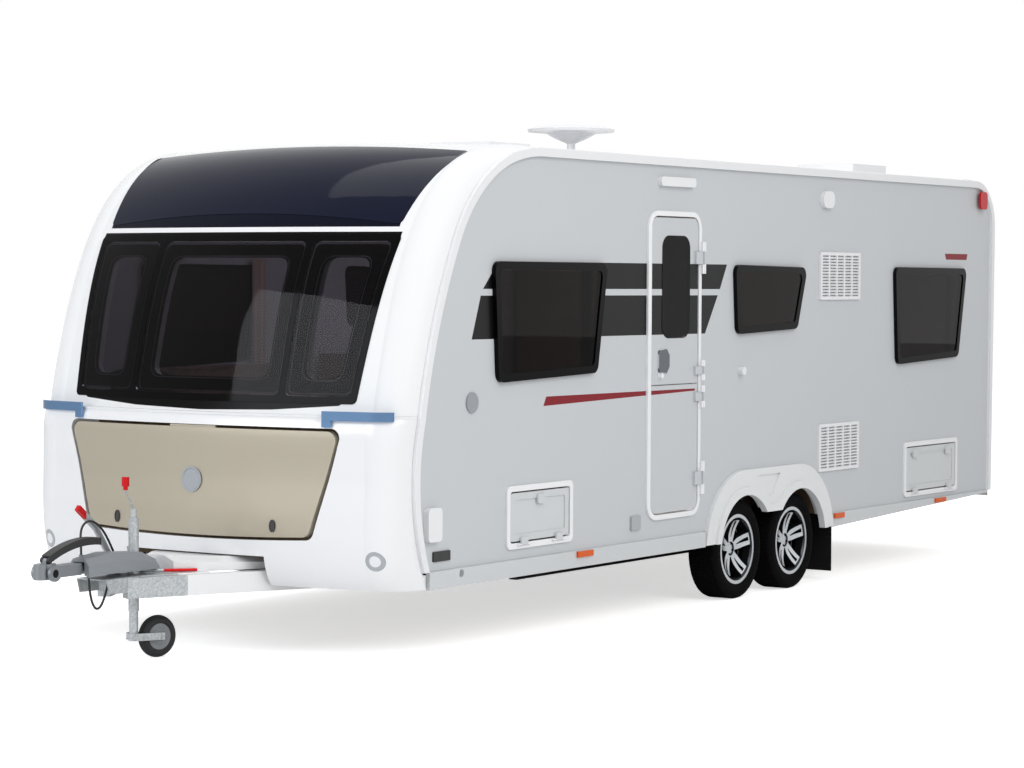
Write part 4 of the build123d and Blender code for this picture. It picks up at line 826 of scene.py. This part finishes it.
@dataclass
class LidFittings:
    """The plain round boss and the two latches on the front lid.

    Args:
        boss: The boss's place in X and Z.
        boss_radius: Its radius.
        latches: The latches' places in X and Z.
        latch_radius: A latch's radius before it is drawn out.
        latch_stretch: How far it is drawn out across and up.
        proud: How far a fitting stands off the lid.
        rim: The width of a fitting's rim, as a share of its radius.
        bevel: The width of the slope inside the rim, as a share of its radius.
        dish: How deep the middle lies below the rim.
        ahead: A place in front of the lid, from which its face is found.
        segments: How many sides a round fitting has.
    """

    boss: tuple[float, float] = (0.0, 0.824)
    boss_radius: float = 0.062
    latches: tuple[tuple[float, float], ...] = ((-0.480, 0.622), (0.480, 0.622))
    latch_radius: float = 0.022
    latch_stretch: tuple[float, float] = (0.72, 1.35)
    proud: float = 0.007
    rim: float = 0.14
    bevel: float = 0.05
    dish: float = 0.0025
    ahead: float = -4.0
    segments: int = 64

    def build(self) -> None:
        """Builds the boss and the latches."""
        mesh = merged_copy("front_lid")
        tree = BVHTree.FromBMesh(mesh)
        mesh.free()
        self._button("lid_boss", tree, self.boss, self.boss_radius, (1.0, 1.0), SATIN_BOSS)
        for number, place in enumerate(self.latches):
            self._button(f"lid_latch_{number}", tree, place, self.latch_radius, self.latch_stretch,
                         LATCH_BLACK)

    def _button(self, name: str, tree: BVHTree, place: tuple[float, float], radius: float,
                stretch: tuple[float, float], finish: Finish) -> None:
        """Makes a dished round or oval button on the lid's outer face.

        Args:
            name: The piece's name.
            tree: The lid's faces.
            place: The button's place in X and Z.
            radius: Its radius.
            stretch: How far it is drawn out across and up.
            finish: Its finish.
        """
        point, normal, _, _ = tree.ray_cast(Vector((place[0], self.ahead, place[1])), Vector((0, 1, 0)))
        if normal.y > 0:
            normal = -normal
        mesh = bmesh.new()
        bmesh.ops.create_circle(mesh, cap_ends=True, radius=radius, segments=self.segments)
        face = mesh.faces[:]
        raised = bmesh.ops.extrude_face_region(mesh, geom=face)["geom"]
        top = [item for item in raised if isinstance(item, bmesh.types.BMFace)]
        bmesh.ops.translate(mesh, verts=[item for item in raised if isinstance(item, bmesh.types.BMVert)],
                            vec=(0, 0, self.proud))
        bmesh.ops.inset_region(mesh, faces=top, thickness=radius * self.rim, depth=0.0)
        bmesh.ops.inset_region(mesh, faces=top, thickness=radius * self.bevel, depth=-self.dish)
        bmesh.ops.scale(mesh, verts=mesh.verts, vec=(stretch[0], stretch[1], 1))
        turn = normal.to_track_quat("Z", "Y").to_matrix().to_4x4()
        bmesh.ops.transform(mesh, matrix=Matrix.Translation(point) @ turn, verts=mesh.verts)
        bmesh.ops.recalc_face_normals(mesh, faces=mesh.faces)
        piece_from(mesh, name, finish, "front_lid", smooth=False)


@dataclass
class DoorPeg:
    """The short white peg that holds the upper door open.

    Args:
        place: Its place in Y and Z.
        radius: Its radius.
        reach: How far it stands off the door.
        taper: Its end's radius as a share of its foot's.
        rim: The bevel round its end.
        segments: How many sides it has.
        outside: A place beside the door, from which its face is found.
    """

    place: tuple[float, float] = (-0.415, 1.282)
    radius: float = 0.015
    reach: float = 0.024
    taper: float = 0.86
    rim: float = 0.003
    segments: int = 32
    outside: float = 2.0

    def build(self) -> None:
        """Builds the peg on the upper door's outer face."""
        mesh = merged_copy("door_upper")
        tree = BVHTree.FromBMesh(mesh)
        mesh.free()
        face = tree.ray_cast(Vector((self.outside, *self.place)), Vector((-1, 0, 0)))[0]
        mesh = bmesh.new()
        bmesh.ops.create_cone(mesh, cap_ends=True, segments=self.segments, radius1=self.radius,
                              radius2=self.radius * self.taper, depth=self.reach)
        end = [edge for edge in mesh.edges if all(vert.co.z > 0 for vert in edge.verts)]
        bmesh.ops.bevel(mesh, geom=end, offset=self.rim, affect="EDGES", segments=2, profile=0.5, material=-1)
        middle = Vector((face.x + self.reach / 2, *self.place))
        turn = Matrix.Rotation(math.radians(90), 4, "Y")
        bmesh.ops.transform(mesh, matrix=Matrix.Translation(middle) @ turn, verts=mesh.verts)
        bmesh.ops.recalc_face_normals(mesh, faces=mesh.faces)
        piece_from(mesh, "door_peg", MOULDED_WHITE, "door_upper", smooth=False)


@dataclass
class Cable:
    """A cable on the drawbar that leaves it and goes back into it.

    Args:
        node: The CAD node that it stands for.
        route: The points that it follows.
        length: Its real length. It is not used.
        diameter: The sheath's diameter.
    """

    node: str
    route: tuple[tuple[float, float, float], ...]
    length: float
    diameter: float = 0.011

    def build(self) -> bpy.types.Object:
        """Makes the cable as one smooth open curve.

        Returns:
            The cable.
        """
        data = bpy.data.curves.new(f"{self.node}_curve", "CURVE")
        data.dimensions = "3D"
        data.bevel_depth = self.diameter / 2
        data.bevel_resolution = 5
        data.resolution_u = 16
        data.use_fill_caps = True
        spline = data.splines.new("NURBS")
        spline.points.add(len(self.route) - 1)
        for point, place in zip(spline.points, self.route):
            point.co = (*place, 1.0)
        spline.order_u = 3
        spline.use_endpoint_u = True
        piece = bpy.data.objects.new(f"{self.node}_sheath", data)
        bpy.context.scene.collection.objects.link(piece)
        paint(piece, CABLE_SHEATH)
        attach(piece, SHELL)
        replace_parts(piece, self.node)
        return piece


# The cables' routes: out of the drawbar's cover, round a free loop and back into the drawbar
UPPER_ROUTE = ((-0.034, -3.672, 0.518), (-0.038, -3.669, 0.560), (-0.050, -3.660, 0.606),
               (-0.060, -3.636, 0.646), (-0.063, -3.592, 0.668), (-0.063, -3.542, 0.656),
               (-0.062, -3.494, 0.620), (-0.062, -3.452, 0.568), (-0.061, -3.416, 0.5065))
LOWER_ROUTE = ((0.048, -3.712, 0.4177), (0.047, -3.708, 0.380), (0.045, -3.698, 0.338),
               (0.043, -3.682, 0.296), (0.042, -3.656, 0.268), (0.041, -3.626, 0.274),
               (0.040, -3.602, 0.306), (0.040, -3.582, 0.346), (0.040, -3.568, 0.3897))
UPPER_LENGTH = 0.4326
LOWER_LENGTH = 0.3212


@dataclass
class Studio:
    """The camera, the pale floor and the soft lamps.

    Args:
        camera_place: Where the camera stands.
        yaw: Its heading from +Y, in degrees, to the left.
        pitch: How far it looks up, in degrees.
        roll: Its turn about its own axis, in degrees.
        lens: The focal length in millimetres.
        sensor: The sensor's width in millimetres.
        far: How far the camera sees.
        aim: What the lamps look at.
        lamps: Name, place, size, watts and colour of each soft lamp.
        room: Height, width, length, watts and place along Y of the cabin's ceiling light.
        soft_world: The world's strength as a light.
        pale_world: Its strength where it is seen, mirrored or looked through to. 1 is white.
        floor_half: Half the floor's width.
        floor_glow: The floor's own light to the eye, which makes it as pale as the world.
    """

    camera_place: tuple[float, float, float] = (8.6828, -13.4264, 1.7999)
    yaw: float = -33.0945
    pitch: float = -2.1578
    roll: float = 0.2982
    lens: float = 99.19
    sensor: float = 36.0
    far: float = 500.0
    aim: tuple[float, float, float] = (0.0, 0.0, 1.2)
    lamps: tuple[tuple[str, tuple[float, float, float], float, float, str], ...] = (
        ("key", (12.0, -5.0, 9.0), 9.0, 980.0, "#FFFFFF"),
        ("front_fill", (-5.0, -15.0, 6.0), 7.0, 820.0, "#F8FBFF"),
        ("overhead", (0.0, 1.0, 11.0), 10.0, 420.0, "#FFFFFF"),
    )
    room: tuple[float, float, float, float, float] = (2.30, 1.2, 5.0, 60.0, 0.4)
    soft_world: float = 0.42
    pale_world: float = 1.0
    floor_half: float = 60.0
    floor_glow: float = 0.62

    def build(self) -> None:
        """Builds the camera, the lamps, the world and the floor."""
        self._camera()
        for name, place, size, watts, colour in self.lamps:
            self._lamp(name, place, size, watts, colour)
        self._room_light()
        self._world()
        self._floor()

    def _camera(self) -> None:
        """Stands the camera at the photograph's viewing angle."""
        yaw, pitch, roll = (math.radians(angle) for angle in (self.yaw, self.pitch, self.roll))
        ahead = Vector((math.sin(yaw) * math.cos(pitch), math.cos(yaw) * math.cos(pitch), math.sin(pitch)))
        right = ahead.cross(Vector((0, 0, 1))).normalized()
        above = right.cross(ahead)
        level_right = right * math.cos(roll) + above * math.sin(roll)
        level_up = above * math.cos(roll) - right * math.sin(roll)
        data = bpy.data.cameras.new("camera")
        data.lens = self.lens
        data.sensor_width = self.sensor
        data.clip_end = self.far
        camera = bpy.data.objects.new("camera", data)
        turn = Matrix((level_right, level_up, -ahead)).transposed().to_4x4()
        camera.matrix_world = Matrix.Translation(self.camera_place) @ turn
        bpy.context.scene.collection.objects.link(camera)
        bpy.context.scene.camera = camera

    def _lamp(self, name: str, place: tuple[float, float, float], size: float, watts: float,
              colour: str) -> None:
        """Hangs one large soft lamp.

        Args:
            name: Its name.
            place: Where it hangs.
            size: The length of its sides.
            watts: Its power.
            colour: Its sRGB colour.
        """
        data = bpy.data.lights.new(name, "AREA")
        data.shape = "SQUARE"
        data.size = size
        data.energy = watts
        data.color = srgb(colour)[:3]
        lamp = bpy.data.objects.new(name, data)
        look = Vector(self.aim) - Vector(place)
        lamp.matrix_world = Matrix.Translation(place) @ look.to_track_quat("-Z", "Y").to_matrix().to_4x4()
        bpy.context.scene.collection.objects.link(lamp)

    def _room_light(self) -> None:
        """Hangs the cabin's ceiling light, so that the room shows behind the smoked panes."""
        height, width, length, watts, middle_y = self.room
        data = bpy.data.lights.new("cabin_ceiling", "AREA")
        data.shape = "RECTANGLE"
        data.size, data.size_y = width, length
        data.energy = watts
        lamp = bpy.data.objects.new("cabin_ceiling", data)
        lamp.matrix_world = Matrix.Translation((0, middle_y, height))
        bpy.context.scene.collection.objects.link(lamp)

    def _world(self) -> None:
        """Makes the world pale to the eye and soft as a light."""
        world = bpy.data.worlds.new("studio")
        world.use_nodes = True
        tree = world.node_tree
        tree.nodes.clear()
        rays = add_node(tree, "ShaderNodeLightPath")
        seen = add_math(tree, "MAXIMUM", rays.outputs["Is Camera Ray"], rays.outputs["Is Glossy Ray"])
        seen = add_math(tree, "MAXIMUM", seen, rays.outputs["Is Transmission Ray"])
        soft = add_node(tree, "ShaderNodeBackground", {0: srgb("#FFFFFF"), 1: self.soft_world})
        pale = add_node(tree, "ShaderNodeBackground", {0: srgb("#FFFFFF"), 1: self.pale_world})
        mixed = add_node(tree, "ShaderNodeMixShader", {0: seen, 1: soft.outputs[0], 2: pale.outputs[0]})
        add_node(tree, "ShaderNodeOutputWorld", {0: mixed.outputs[0]})
        bpy.context.scene.world = world

    def _floor(self) -> None:
        """Lays the plain pale floor."""
        mesh = bmesh.new()
        bmesh.ops.create_grid(mesh, x_segments=1, y_segments=1, size=self.floor_half)
        data = bpy.data.meshes.new("floor")
        mesh.to_mesh(data)
        mesh.free()
        floor = bpy.data.objects.new("studio_floor", data)
        bpy.context.scene.collection.objects.link(floor)
        material = bpy.data.materials.new("pale_floor")
        material.use_nodes = True
        tree = material.node_tree
        shader = tree.nodes["Principled BSDF"]
        shader.inputs["Base Color"].default_value = srgb("#FAFAFA")
        shader.inputs["Roughness"].default_value = 0.9
        rays = add_node(tree, "ShaderNodeLightPath")
        glow = add_math(tree, "MULTIPLY", rays.outputs["Is Camera Ray"], self.floor_glow)
        shader.inputs["Emission Color"].default_value = srgb("#FFFFFF")
        tree.links.new(glow, shader.inputs["Emission Strength"])
        floor.data.materials.append(material)


def dress_frame(rows: Iterable[tuple[Finish, tuple[str, ...]]]) -> None:
    """Gives every rigid CAD node its finish.

    Args:
        rows: Each finish with the names of its nodes.
    """
    for finish, nodes in rows:
        for node in nodes:
            paint(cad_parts[node], finish)


def main() -> None:
    """Builds the caravan's looks and the studio."""
    logging.basicConfig(level=logging.INFO, format="%(message)s")
    dress_frame(NODE_FINISHES)
    for place in ("front_left", "front_right", "rear_left", "rear_right"):
        log.info("tyre: %s", Tyre(place).build().name)
    SoftFurnishings().build()
    log.info("cushions and curtains")
    FrontGlazing().build()
    log.info("front panes' rings")
    LidFittings().build()
    DoorPeg().build()
    log.info("lid fittings and door peg")
    Cable("brake_cable", UPPER_ROUTE, UPPER_LENGTH).build()
    Cable("lighting_cable", LOWER_ROUTE, LOWER_LENGTH).build()
    log.info("cables")
    Studio().build()
    bpy.context.scene.view_settings.view_transform = "Standard"


if __name__ == "__main__":
    main()
